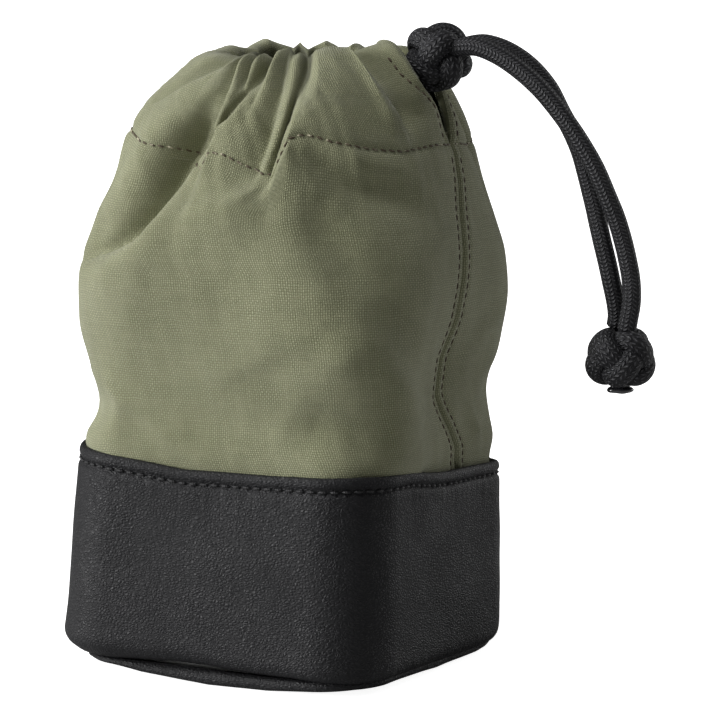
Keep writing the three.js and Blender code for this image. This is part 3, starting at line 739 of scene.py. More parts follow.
class Finish(Enum):
    """The finishes of this pouch."""

    CANVAS = ClothFinish("canvas", (0.262, 0.268, 0.160), (0.150, 0.156, 0.088), (0.390, 0.396, 0.256))
    LINING = ClothFinish(
        "lining", (0.085, 0.085, 0.070), (0.040, 0.040, 0.034), (0.130, 0.130, 0.110), threads=3000.0, relief=0.00004
    )
    LEATHER = LeatherFinish("leather", (0.0070, 0.0070, 0.0082), (0.026, 0.026, 0.029))
    # cord: black yarn, and the grey of its painted highlights
    CORD = CordFinish("cord", (0.007, 0.007, 0.0085), (0.120, 0.120, 0.130))
    CANVAS_THREAD = ThreadFinish("canvas_thread", (0.075, 0.056, 0.030), (0.440, 0.410, 0.290), light_share=0.35)
    SEAM_THREAD = ThreadFinish("seam_thread", (0.060, 0.037, 0.020), (0.200, 0.170, 0.110), light_share=0.15)
    LEATHER_THREAD = ThreadFinish("leather_thread", (0.006, 0.006, 0.007), (0.020, 0.020, 0.022), light_share=0.1)
    FOAM = PlainFinish("foam", (0.280, 0.280, 0.270), roughness=0.9, pores=2200.0, relief=0.00012)
    MELTED = PlainFinish(
        "melted_cord", (0.020, 0.020, 0.023), roughness=0.22, pores=500.0, relief=0.00020, coat=0.6
    )


class Wardrobe:
    """The finishes' materials, each made when it is first asked for."""

    def __init__(self) -> None:
        """Starts empty."""
        self.made: dict[Finish, Material] = {}

    def __getitem__(self, finish: Finish) -> Material:
        """The material of a finish."""
        if finish not in self.made:
            self.made[finish] = finish.value.material()
        return self.made[finish]


WARDROBE = Wardrobe()


# Studio


@dataclass(frozen=True)
class Lamp:
    """A distant soft light: its azimuth and elevation in degrees, the angle that it fills, and its strength."""

    name: str
    azimuth: float
    elevation: float
    spread: float
    strength: float

    def build(self) -> None:
        """Adds the light to the scene, pointing at the origin from its azimuth and elevation."""
        data = bpy.data.lights.new(self.name, "SUN")
        data.energy, data.angle = self.strength, math.radians(self.spread)
        lamp = bpy.data.objects.new(self.name, data)
        bpy.context.scene.collection.objects.link(lamp)
        turn, rise = math.radians(self.azimuth), math.radians(self.elevation)
        place = Vector((math.sin(turn) * math.cos(rise), -math.cos(turn) * math.cos(rise), math.sin(rise)))
        lamp.location = place * 2.0
        lamp.rotation_euler = (-place).to_track_quat("-Z", "Y").to_euler()


@dataclass(frozen=True)
class Studio:
    """The photograph's viewpoint, in millimetres from the pouch's middle, with a pale floor and soft light."""

    azimuth: float = 27.0
    distance: float = 937.0
    height: float = 174.0
    aim: Place = (14.1, 7.15, 63.0)
    lens: float = 226.0
    sensor: float = 36.0
    floor_half: float = 12.0
    floor_seen: float = 0.86
    sky: float = 0.125
    floor_bounce: float = 0.52
    floor_glow: float = 0.92
    lamps: tuple[Lamp, ...] = (
        Lamp("key", -54.0, 6.0, 28.0, 4.6),
        Lamp("top", -38.0, 58.0, 22.0, 1.9),
        Lamp("rim", 152.0, 14.0, 44.0, 0.75),
    )

    def build_camera(self) -> None:
        """Sets the camera: it stands at the azimuth, looks at the aim and has no depth of field."""
        turn = math.radians(self.azimuth)
        place = Vector((self.distance * math.sin(turn), -self.distance * math.cos(turn), self.height)) * MM
        data = bpy.data.cameras.new("camera")
        data.lens, data.sensor_width = self.lens, self.sensor
        data.clip_start, data.clip_end = 0.01, 100.0
        camera = bpy.data.objects.new("camera", data)
        bpy.context.scene.collection.objects.link(camera)
        camera.location = place
        camera.rotation_euler = (Vector(self.aim) * MM - place).to_track_quat("-Z", "Y").to_euler()
        bpy.context.scene.camera = camera

    def build_light(self) -> None:
        """Sets the sky, the lamps and the floor."""
        world = bpy.data.worlds.new("studio")
        world.use_nodes = True
        sky = world.node_tree.nodes["Background"]
        sky.inputs["Color"].default_value = (1.0, 1.0, 1.0, 1.0)
        sky.inputs["Strength"].default_value = self.sky
        bpy.context.scene.world = world
        bpy.context.scene.view_settings.view_transform = "Standard"
        for lamp in self.lamps:
            lamp.build()
        half = self.floor_half
        mesh = bpy.data.meshes.new("floor")
        mesh.from_pydata([(-half, -half, 0), (half, -half, 0), (half, half, 0), (-half, half, 0)], [], [(0, 1, 2, 3)])
        paint = Paint("floor")
        seen = paint.node("ShaderNodeLightPath").outputs["Is Camera Ray"]
        mesh.materials.append(paint.finish({
            "Base Color": paint.blend(seen, (self.floor_bounce,) * 3, (self.floor_seen,) * 3),
            "Emission Strength": paint.math("MULTIPLY", seen, self.floor_glow),
            "Emission Color": (1.0, 1.0, 1.0), "Roughness": 0.9, "Specular IOR Level": 0.1,
        }))
        floor = bpy.data.objects.new("floor", mesh)
        bpy.context.scene.collection.objects.link(floor)


# Shape of the pouch


@dataclass(frozen=True)
class Fold:
    """A line on the cloth along which it stands out or is drawn in.

    Attributes:
        line: Points of the line, as turn from the slit towards the back and height in mm.
        rise: How far the cloth stands out at each point, in mm, or in where negative.
        before: How far the fold reaches on the left of its line, in mm, as one walks along it.
        after: How far it reaches on the right.
        power: 2 for a rounded fold, towards 1 for a sharp one.
    """

    line: Rows
    rise: tuple[float, ...]
    before: float
    after: float
    power: float = 2.0


@dataclass(frozen=True)
class Valley:
    """A pleat's valley, from the foot to the rim.

    Attributes:
        rows: Rows of height, turn, depth, and how far its side reaches before and after it, all but the turn in mm.
        lean: How far the pleat on its left overlaps it at the rim, in mm, or the one on its right where negative.
    """

    rows: Rows
    lean: float = 0.0


@dataclass(frozen=True)
class PouchForm:
    """The outer surface of the canvas as a function of turn, height and inset.

    A point lies at distance R - inset from the pouch's leaning middle line, where R is the rounded square of its
    height, less the pleats' valleys and the folds. The turn runs from the slit, at +X, towards the back, at +Y.

    Attributes:
        levels: Rows of height, half width, corner radius and lean towards +X, in mm.
        valleys: The pleats' valleys.
        folds: The cloth's other folds.
        seam_drift: Turn of the seam on the slit's side, by height.
        slit: Turns of the slit's front and back edge, by height.
        rim_rise: How far the rim stands above its height, by turn.
        row_rise: The same of the casing's stitch row.
        stitch_height, rim_height: Heights of the casing's stitch row and of the rim.
        casing_thickness, casing_fill: Inset at which the valleys have lost this share of their depth.
        easing: How far each level is eased into the next.
        cap: How deep a valley may go beside the cord.
        rim_cap, pocket_cap: How much deeper at the rim and below the casing, and the heights that it eases between.
        valley_power: Steepness of a valley's sides.
        tip_depth: How far below the stitch row the pleats begin to tip over.
        tip: Distance from a valley's line at which its neighbour tips over it, and how far the tip reaches.
        seam_gap: Half the gap between the halves at a seam.
        joint_sink, casing_sink: How far a seam's joint and the casing's row sink, and their reach.
        row_sink: How far a seam's stitch row sinks, its distance from the joint, and its reach.
        slack, gathered_slack: Size, wavelengths round and up, and seed of the wobbles of all cloth and of the pleats.
        gathered_span, rim_span: Heights between which the pleats' wobble and the rim's rise fade in.
        row_reach: How far the stitch row's rise reaches up and down.
    """

    levels: Rows
    valleys: tuple[Valley, ...]
    folds: tuple[Fold, ...]
    seam_drift: Rows
    slit: Rows
    rim_rise: Rows
    row_rise: Rows
    stitch_height: float = 109.0
    rim_height: float = 128.3
    casing_thickness: float = 8.5
    casing_fill: float = 0.45
    easing: float = 2.2
    cap: float = 3.7
    rim_cap: tuple[float, float, float] = (2.0, 121.3, 126.5)
    pocket_cap: tuple[float, float, float] = (9.0, 119.0, 110.5)
    valley_power: float = 1.4
    tip_depth: float = 6.0
    tip: tuple[float, float] = (1.2, 3.0)
    seam_gap: float = 0.12
    joint_sink: tuple[float, float] = (0.9, 0.75)
    row_sink: tuple[float, float, float] = (0.25, 2.6, 0.7)
    casing_sink: tuple[float, float] = (0.45, 0.9)
    slack: Rows = ((0.22, 5.5, 7.0, 0.4), (0.10, 2.1, 3.4, 2.0))
    gathered_slack: tuple[float, ...] = (0.22, 1.3, 16.0, 1.1)
    gathered_span: Span = (88.0, 106.0)
    rim_span: Span = (111.0, 127.0)
    row_reach: float = 11.0

    def level(self, height: Array) -> tuple[Array, Array, Array]:
        """Half width, corner radius and lean at a height: the levels' straight lines, eased over a few mm."""
        fine = np.arange(-12.0, 150.0, 0.5)
        reach = np.arange(-8.0, 8.01, 0.5)
        kernel = bell(reach, self.easing)
        kernel /= kernel.sum()
        raw = (np.pad(look_up(self.levels, fine, k), len(reach) // 2, mode="edge") for k in (1, 2, 3))
        half, corner, lean = (np.interp(height, fine, np.convolve(r, kernel, mode="valid")) for r in raw)
        return half, corner, lean

    def girth(self, height: Array) -> Array:
        """Length round the pouch at a height, near enough to measure folds by: 6.8 half widths."""
        return GIRTH_TO_HALF_WIDTH * self.level(height)[0]

    def gather(self, turn: Array, height: Array) -> tuple[Array, Array]:
        """The pleats' valleys: how deep they draw the cloth in, and how far they push it sideways.

        A valley is depth * exp(-(|d| / reach)^1.4), d being the distance from its line and reach its own on each
        side. Depths add up as the root of their squares, and are held under a cap, so that the cord has room behind
        them. The push is lean * rise * a rounded hill beside the line, which tips the pleat there over the valley.

        Args:
            turn, height: Turn and height in mm of each point.

        Returns:
            The depth and the sideways push, in mm.
        """
        depth, push = np.zeros_like(turn), np.zeros_like(turn)
        girth = self.girth(height)
        beside, tip_reach = self.tip
        rise = smoothstep(self.stitch_height - self.tip_depth, self.rim_height, height) ** 1.5
        for valley in self.valleys:
            at, deep, before, after = (look_up(valley.rows, height, k) for k in (1, 2, 3, 4))
            away = shorter_way(turn - at) * girth
            shape = deep * bell(away, np.where(away < 0.0, before, after), self.valley_power)
            depth = np.sqrt(depth**2 + shape**2)
            push += valley.lean * rise * bell(away - np.sign(valley.lean) * beside, tip_reach)
        rim_more, rim_low, rim_high = self.rim_cap
        pocket_more, pocket_high, pocket_low = self.pocket_cap
        cap = self.cap + rim_more * smoothstep(rim_low, rim_high, height)
        cap = cap + pocket_more * smoothstep(pocket_high, pocket_low, height)
        return cap * np.tanh(depth / cap), push

    def drape(self, turn: Array, height: Array) -> Array:
        """How far the folds make the cloth stand out.

        Each fold gives rise * exp(-(d / reach)^power), with d the distance from the nearest of its straight
        stretches in the plane of turn * girth and height.

        Args:
            turn, height: Turn and height in mm of each point.

        Returns:
            The sum of the folds in mm, positive outwards.
        """
        total = np.zeros_like(turn)
        girth = self.girth(height)
        for fold in self.folds:
            line = np.array(fold.line)
            middle = line[:, 0].mean()
            x = shorter_way(turn - middle) * girth
            along = (line[:, 0] - middle) * self.girth(line[:, 1])
            nearest = np.full(turn.shape, 1e9)
            side = np.ones_like(turn)
            rise = np.zeros_like(turn)
            for i in range(len(line) - 1):
                dx, dz = along[i + 1] - along[i], line[i + 1, 1] - line[i, 1]
                px, pz = x - along[i], height - line[i, 1]
                t = np.clip((px * dx + pz * dz) / (dx * dx + dz * dz), 0.0, 1.0)
                gap = np.hypot(px - t * dx, pz - t * dz)
                closer = gap < nearest
                nearest = np.where(closer, gap, nearest)
                side = np.where(closer, np.sign(dx * pz - dz * px), side)
                rise = np.where(closer, fold.rise[i] + t * (fold.rise[i + 1] - fold.rise[i]), rise)
            reach = np.where(side > 0, fold.before, fold.after)
            total += rise * bell(nearest, reach, fold.power)
        return total

    def edges(self, height: Array) -> tuple[Array, Array]:
        """Turns of the two halves' edges on the slit's side: the seam, and above the stitch row the slit's edges."""
        gap = self.seam_gap / self.girth(height)
        seam = look_up(self.seam_drift, height)
        front, back = (look_up(self.slit, height, k) for k in (1, 2))
        above = height > self.stitch_height
        return np.where(above, np.minimum(front, seam - gap), seam - gap), np.where(above, back, seam + gap)

    def edge_distance(self, turn: Array, height: Array) -> tuple[Array, Array]:
        """Distances in mm from the edge on the slit's side and from the far seam."""
        girth = self.girth(height)
        front, back = self.edges(height)
        short = shorter_way(turn)
        near = np.where(short < 0.5 * (front + back), front - short, short - back) * girth
        far = (0.5 - np.abs(short)) * girth
        return np.maximum(near, 0.0), np.maximum(far, 0.0)

    def relief(self, turn: Array, height: Array) -> Array:
        """How far the sewing and the cloth's own unevenness draw the surface in.

        Each seam sinks at its joint and along its stitch row, and so does the casing's row. Wobbles stand for slack
        in the cloth.

        Args:
            turn, height: Turn and height in mm of each point.

        Returns:
            The inset in mm.
        """
        joint, joint_reach = self.joint_sink
        row, row_away, row_reach = self.row_sink
        total = np.zeros_like(turn)
        for away in self.edge_distance(turn, height):
            total += joint * bell(away, joint_reach) + row * bell(away - row_away, row_reach)
        total += self.casing_sink[0] * bell(height - self.stitch_height, self.casing_sink[1])
        for size, wide, tall, seed in self.slack:
            total += size * wobble(turn * MEAN_GIRTH / wide, height / tall, seed)
        size, wide, tall, seed = self.gathered_slack
        run = turn * self.girth(height)
        return total + size * smoothstep(*self.gathered_span, height) * wobble(run / wide, height / tall, seed)

    def point(self, turn: Array, height: Array, inset: Array | float = 0.0) -> Array:
        """The place of a point of the cloth.

        Args:
            turn: Turn from the slit towards the back.
            height: Height before the rim's rise and the stitch row's drop, in mm.
            inset: Depth below the outer surface in mm.

        Returns:
            The place in mm.
        """
        turn, height = np.broadcast_arrays(np.asarray(turn, float), np.asarray(height, float))
        inset = np.broadcast_to(np.asarray(inset, float), turn.shape)
        half, corner, lean = self.level(height)
        depth, push = self.gather(turn, height)
        share = 1.0 - self.casing_fill * np.clip(inset / self.casing_thickness, 0.0, 1.0)
        angle = TURN * turn + push / np.maximum(half, 1.0)
        reach = rounded_square_reach(angle, half, corner) - depth * share + self.drape(turn, height) - inset
        lift = look_up(self.rim_rise, turn % 1.0, period=1.0) * smoothstep(*self.rim_span, height)
        shift = look_up(self.row_rise, turn % 1.0, period=1.0)
        high = height + lift + shift * bell(height - self.stitch_height, self.row_reach)
        return np.stack([lean + reach * np.cos(angle), reach * np.sin(angle), high], axis=-1)

    def skin(self, turn: Array, height: Array, inset: Array | float = 0.0) -> Array:
        """The place of a point of the cloth with its relief."""
        return self.point(turn, height, self.relief(turn, height) + inset)

    def seam_line(self, turn: Array, height: Array, sink: float) -> tuple[Array, Array]:
        """A line on the cloth for stitches, and the way out of the cloth along it, from steps of 0.4 mm.

        Args:
            turn, height: Turn and height in mm of each point.
            sink: How far the line lies below the cloth, in mm.

        Returns:
            The line's points and the outward directions.
        """
        step = 0.4
        girth = self.girth(height)
        round_way = self.point(turn + step / girth, height) - self.point(turn - step / girth, height)
        up = self.point(turn, height + step) - self.point(turn, height - step)
        out = unit(np.cross(unit(round_way), unit(up)))
        return self.skin(turn, height) - sink * out, out


FORM = PouchForm(
    levels=(
        (30, 34.6, 12, 1.1), (43, 34.1, 12, 1.7), (45.5, 35.2, 14, 2), (55, 35, 16, 2), (64, 36.7, 18.9, 2.2),
        (72.1, 38.6, 22, 2.3), (79.9, 39.7, 25.2, 2.5), (86.7, 39.7, 27.9, 2.6), (93.5, 38.1, 29.2, 3.1),
        (100.2, 36.1, 29.9, 3.8), (104.7, 35, 29.4, 4), (109.3, 34, 29.3, 4.2), (112.1, 33.1, 28.9, 4.5),
        (115.3, 32, 28.3, 4.8), (118.3, 30.4, 27.1, 5.2), (121.2, 28.6, 25.7, 5.6), (125.3, 25.3, 23.5, 5.6),
        (128.3, 21.7, 21, 5.2),
    ),
    valleys=(
        # Between the big front pleat and the slit's panel
        Valley(((107, -0.064, 0, 1.6, 4), (112.5, -0.066, 1.2, 1, 4), (115.2, -0.067, 3, 0.8, 4),
            (118.5, -0.074, 4.8, 0.7, 2.9), (122.5, -0.079, 5.4, 0.7, 2.6), (128.3, -0.083, 5.6, 0.7, 2.4)), -2.2),
        # Left edge of the big front pleat, and the left edge of the narrow band beside it
        Valley(((99, -0.224, 0, 5, 2.4), (104, -0.214, 0.8, 4, 1.6), (107.5, -0.205, 1.8, 3, 1.1),
            (110.5, -0.198, 2.8, 2, 0.8), (114, -0.193, 3.3, 1.5, 0.7), (118.5, -0.1905, 3.6, 1.2, 0.7),
            (123, -0.187, 4, 1, 0.7), (128.3, -0.182, 4.8, 1, 0.7)), 1.2),
        Valley(((103, -0.224, 0, 4, 2), (107, -0.22, 1.2, 4.5, 1.1), (110, -0.217, 2.2, 4.5, 0.8),
            (113.7, -0.2135, 2.8, 4, 0.8), (117.8, -0.2105, 2.8, 3, 0.8), (122, -0.2095, 2.8, 2, 0.8),
            (128.3, -0.211, 3.4, 1.4, 0.8)), 0.5),
        # Deep pocket left of the wide panel, and the narrow frayed pleat over it
        Valley(((85.7, -0.384, 0, 4, 3), (87.3, -0.3525, 3, 4, 2.2), (89.5, -0.334, 5, 4, 1.8),
            (92.5, -0.3215, 6.6, 4.2, 1.6), (96, -0.311, 8, 4.4, 1.4), (100, -0.3065, 8.8, 4.6, 1.3),
            (103.7, -0.3025, 9.2, 4.8, 1.2), (107.3, -0.2985, 9.2, 5, 1.1), (110.5, -0.2935, 8.6, 5, 1),
            (112.8, -0.2865, 6.4, 5, 0.9), (115.7, -0.268, 3.4, 2, 0.8), (118.7, -0.261, 3.2, 1.5, 0.8),
            (122.7, -0.249, 3.8, 1.3, 0.7), (126.7, -0.241, 4.6, 1.2, 0.7), (128.3, -0.238, 4.8, 1.2, 0.7)), 1),
        Valley(((84.5, -0.4, 0, 3, 4), (87, -0.376, 3.6, 2.8, 4), (90, -0.354, 5.4, 2.8, 4), (96, -0.33, 6.4, 2.8, 4),
            (100, -0.324, 6.8, 2.8, 4), (104, -0.319, 7, 2.8, 4), (108, -0.314, 7.4, 2.8, 4),
            (112, -0.306, 7.4, 2.8, 3.6), (115.5, -0.299, 6.4, 2.6, 3), (119, -0.294, 4, 2.2, 2.4),
            (122, -0.292, 0, 2, 2))),
        Valley(((110, -0.29, 0, 5, 1), (113.5, -0.288, 7.4, 4.4, 0.9), (116.8, -0.287, 7.4, 3.8, 0.8),
            (119.7, -0.284, 5.6, 3.2, 0.8), (122, -0.2835, 4.6, 2.6, 0.8), (125, -0.286, 3.8, 2, 0.8),
            (128.3, -0.293, 3.6, 1.6, 0.8)), 0.5),
        Valley(((118.5, -0.256, 0, 0.8, 0.8), (121.5, -0.259, 1.2, 0.9, 0.7), (124.8, -0.263, 2.6, 1.1, 0.7),
            (128.3, -0.266, 3.2, 1.1, 0.7))),
        # Between the two lobes on the left
        Valley(((108, -0.41, 0, 3, 2), (111, -0.4, 1.6, 3.5, 1.2), (114.8, -0.393, 2.8, 4, 0.9),
            (117.5, -0.378, 3.2, 4, 0.8), (120.5, -0.3635, 3.5, 4, 0.8), (124.8, -0.3355, 4, 3.5, 0.8),
            (128.3, -0.311, 4.2, 2.5, 0.8)), 1.4),
        Valley(((100, -0.47, 0, 2.4, 2.4), (112, -0.452, 1.6, 1.8, 1.8), (128, -0.44, 4.2, 1.3, 1.3)), 0.8),
        # The back panel's pleats
        Valley(((96, 0.446, 0, 3, 3), (109, 0.44, 2.4, 2, 1.6), (128, 0.432, 4.6, 1.4, 1.3)), 0.9),
        Valley(((97, 0.372, 0, 3, 2.4), (110, 0.364, 2.2, 2.5, 1.2), (128, 0.355, 4.4, 1.4, 1)), -0.9),
        Valley(((94, 0.318, 0, 3, 4), (108, 0.324, 2.8, 1.4, 4), (128, 0.315, 4.8, 1.1, 2)), 0.9),
        Valley(((97, 0.262, 0, 3, 2.6), (110, 0.27, 2.2, 2.5, 1.2), (128, 0.266, 4.4, 1.4, 1)), -1),
        Valley(((92, 0.204, 0, 5, 3.4), (107, 0.206, 3, 4.5, 1.4), (128, 0.205, 5, 1.8, 1)), 1),
        Valley(((96, 0.128, 0, 2.6, 3), (109, 0.134, 2.4, 1.4, 3), (128, 0.135, 4.6, 1, 1.8)), -0.9),
        Valley(((101, 0.07, 0, 2.2, 2.2), (111, 0.066, 1.6, 1.4, 1.4), (128, 0.076, 4, 1.2, 1.2)), 0.6),
    ),
    folds=(
        # The drape below the big pleat's left edge, and the one that bounds the deep pocket
        Fold(((-0.186, 112), (-0.2, 108.6), (-0.212, 106), (-0.2225, 103.4), (-0.2385, 99.7), (-0.264, 97.8),
            (-0.285, 97)), (0.2, 1.5, 2.2, 2.5, 2.3, 1.2, 0), 9, 2.2, 1.6),
        Fold(((-0.292, 110), (-0.2965, 105), (-0.299, 100.5), (-0.301, 97), (-0.303, 94), (-0.306, 91.3),
            (-0.3175, 88.7), (-0.338, 86), (-0.365, 84.6), (-0.394, 83.4)),
            (0, 0.8, 1.9, 2.7, 3, 3.1, 3, 2.5, 1.6, 0.2), 9, 1.9, 1.6),
        Fold(((-0.3, 108), (-0.312, 102.5), (-0.3235, 97.5), (-0.339, 91.5), (-0.3565, 88.4)),
            (-0.2, -0.6, -1, -1.3, -1.2), 5, 5, 2.2),
        Fold(((-0.345, 94), (-0.38, 89.5)), (-1.4, -1.8), 4, 4),
        Fold(((-0.338, 119), (-0.342, 113), (-0.349, 106), (-0.366, 100), (-0.392, 94.5)), (0.2, 1.3, 1.6, 1.4, 0.9),
            4.6, 4.6),
        # Broad swells: left of the middle above, right of it below, with a shallow dip between
        Fold(((-0.236, 104), (-0.246, 97), (-0.25, 88)), (0.5, 1.3, 0.5), 9, 9),
        Fold(((-0.168, 100.5), (-0.15, 94), (-0.132, 86), (-0.122, 80)), (-0.8, -1.9, -1.6, -0.5), 13, 7),
        Fold(((-0.14, 79), (-0.122, 70), (-0.1, 62), (-0.078, 54), (-0.06, 47)), (0.5, 2.3, 3, 3, 1.6), 5.5, 8),
        Fold(((-0.096, 128.5), (-0.091, 122), (-0.087, 117), (-0.08, 112.5)), (1.2, 2, 1.8, 0.3), 3.2, 3.2),
        Fold(((-0.268, 105.5), (-0.246, 104), (-0.23, 102.5)), (0.5, 0.7, 0.4), 2.2, 2.6),
        # Soft dents under the casing, right of the middle, and the swell between them and the stitch row
        Fold(((-0.174, 106.8), (-0.16, 104), (-0.1295, 101.2), (-0.094, 99.6), (-0.058, 96.5)),
            (-0.5, -1.5, -2, -1.7, -0.6), 3.4, 3.2, 1.8),
        Fold(((-0.15, 107.6), (-0.115, 106), (-0.075, 105)), (0.2, 0.6, 0.4), 2.2, 2.2),
        Fold(((-0.158, 96), (-0.14, 91)), (-0.7, -0.4), 3.6, 3),
        Fold(((-0.17, 99), (-0.146, 96.5), (-0.112, 90)), (0.2, 0.7, 0.3), 4, 4),
        # The press of the seam on the slit's side, and the light line before it
        Fold(((-0.012, 74), (-0.01, 66), (0, 59), (0.02, 52)), (-0.3, -1.6, -1.7, -0.4), 8, 8),
        Fold(((-0.118, 67), (-0.099, 63.4), (-0.0595, 56.3), (-0.022, 49.5)), (0.1, 0.7, 0.9, 0.4), 3.2, 3, 1.6),
        Fold(((-0.095, 78), (-0.06, 68)), (0.1, 0.5), 5, 5),
        # Low on the front: the swell before the corner, the hollow under it and the faint step over both
        Fold(((-0.158, 73), (-0.145, 68), (-0.131, 62.5)), (0.3, 1.1, 0.5), 5, 4.6),
        Fold(((-0.18, 55.5), (-0.158, 53.6), (-0.134, 52)), (-0.5, -2.2, -1.4), 5.6, 5.6),
        Fold(((-0.29, 63.4), (-0.2355, 64.3), (-0.2, 68), (-0.165, 73)), (0.1, 0.5, 0.6, 0.2), 7, 2, 1.7),
        Fold(((-0.34, 59.5), (-0.3205, 55.6), (-0.297, 51), (-0.276, 47)), (0.2, 0.9, 0.9, 0.4), 6.5, 2.6, 1.8),
        # Creases where the cloth runs into the band, on both silhouettes
        Fold(((-0.392, 62), (-0.388, 56), (-0.396, 50)), (-1, -2.4, -1), 6, 6, 2.2),
        Fold(((-0.372, 62.5), (-0.349, 60), (-0.336, 57), (-0.345, 53), (-0.363, 48.5)), (0.2, 0.6, 0.8, 0.7, 0.2),
            2.6, 1.5, 1.5),
        Fold(((0.096, 57), (0.092, 52)), (-1.8, -1.2), 4.5, 4.5, 2.2),
        Fold(((0.053, 56), (0.064, 48.5), (0.08, 42.5)), (0.2, 0.8, 0.2), 1.6, 2.6, 1.5),
        Fold(((0.092, 52.8), (0.072, 50.5), (0.058, 47.5)), (0.3, 0.7, 0.2), 1.4, 1.8, 1.5),
        # The neck drawn in beside the slit, and the cloth standing out over the band's corner
        Fold(((0.05, 112), (0.06, 119), (0.07, 124)), (-0.6, -1.8, -1.2), 7, 7),
        Fold(((-0.43, 47.6), (-0.395, 48.4), (-0.35, 48)), (0.4, 1.5, 0.5), 3.4, 3.4),
        # Quieter drapes on the back panel
        Fold(((0.13, 104), (0.18, 94), (0.25, 87), (0.33, 84)), (0.3, 1.2, 1.3, 0.3), 6, 3, 1.7),
        Fold(((0.2, 100), (0.245, 95), (0.3, 92)), (-1.2, -2, -0.8), 6, 6),
        Fold(((0.36, 104), (0.395, 92), (0.41, 78)), (-0.6, -1.2, -0.3), 5, 4),
        Fold(((0.16, 64), (0.23, 56), (0.3, 52)), (0.2, 0.8, 0.2), 3, 4.5, 1.8),
        Fold(((0.34, 60), (0.365, 52), (0.35, 46)), (-0.6, -1.6, -0.6), 5, 5),
        # The slit's edges, pressed outwards by the knot
        Fold(((-0.03, 116.5), (-0.04, 122), (-0.04, 129)), (0.4, 2, 3), 5, 5),
        Fold(((0.032, 117), (0.04, 123), (0.044, 129)), (0.2, 1, 1.6), 5, 5),
        # A faint crease behind the seam
        Fold(((0.03, 67), (0.06, 71.5), (0.095, 76.5)), (0.2, 0.7, 0.3), 2.4, 4.5, 1.8),
    ),
    seam_drift=(
        (34, 0.044), (41, 0.042), (46, 0.03), (52, 0.01), (58, -0.008), (66, -0.014), (76, -0.01), (86, -0.006),
        (95, -0.002), (102, 0.007), (109, 0.01), (115, 0.004), (120, 0), (130, 0),
    ),
    slit=(
        (109, 0.006, 0.0085), (111, -0.0025, 0.0125), (113, -0.0055, 0.016), (115.3, -0.0075, 0.0195),
        (116.5, -0.01, 0.022), (117.8, -0.02, 0.026), (119.3, -0.031, 0.031), (121, -0.039, 0.036),
        (123, -0.044, 0.0405), (126.8, -0.0445, 0.045), (128.3, -0.045, 0.046), (140, -0.045, 0.046),
    ),
    rim_rise=(
        (0.02, 0.6), (0.07, -0.8), (0.1, 0.2), (0.135, -1.2), (0.17, 0.2), (0.205, -1.5), (0.235, 0), (0.266, -1.4),
        (0.29, 0.4), (0.315, -1.3), (0.335, 0.1), (0.355, -1), (0.395, 0.9), (0.432, -1), (0.47, -0.2), (0.5, -0.8),
        (0.56, -1.4), (0.62, -1), (0.66, -0.9), (0.687, -1.6), (0.705, -0.2), (0.722, -0.6), (0.735, -1.8),
        (0.748, -0.4), (0.76, -2.2), (0.77, 0.4), (0.787, 0.9), (0.797, -0.6), (0.808, -0.2), (0.818, -1.6),
        (0.832, 0.2), (0.86, 0.9), (0.9, 0.9), (0.917, -1), (0.935, 0.8), (0.955, 2.2), (0.985, 2.4),
    ),
    row_rise=(
        (0, 0.2), (0.03, 0), (0.06, -0.8), (0.13, 0.6), (0.2, -0.8), (0.27, 0.8), (0.33, -0.6), (0.4, 0.8),
        (0.46, 0.2), (0.52, 1.6), (0.596, 3), (0.674, 0), (0.711, -3), (0.722, -4), (0.731, -0.4), (0.747, -0.8),
        (0.768, -2.8), (0.79, -4.5), (0.797, -4.4), (0.812, 2.8), (0.824, 3.5), (0.836, 3.2), (0.85, 2.2),
        (0.867, 1.5), (0.889, 0.5), (0.922, -0.2), (0.94, 0), (0.969, 0.5),
    ),
)


# Sewing


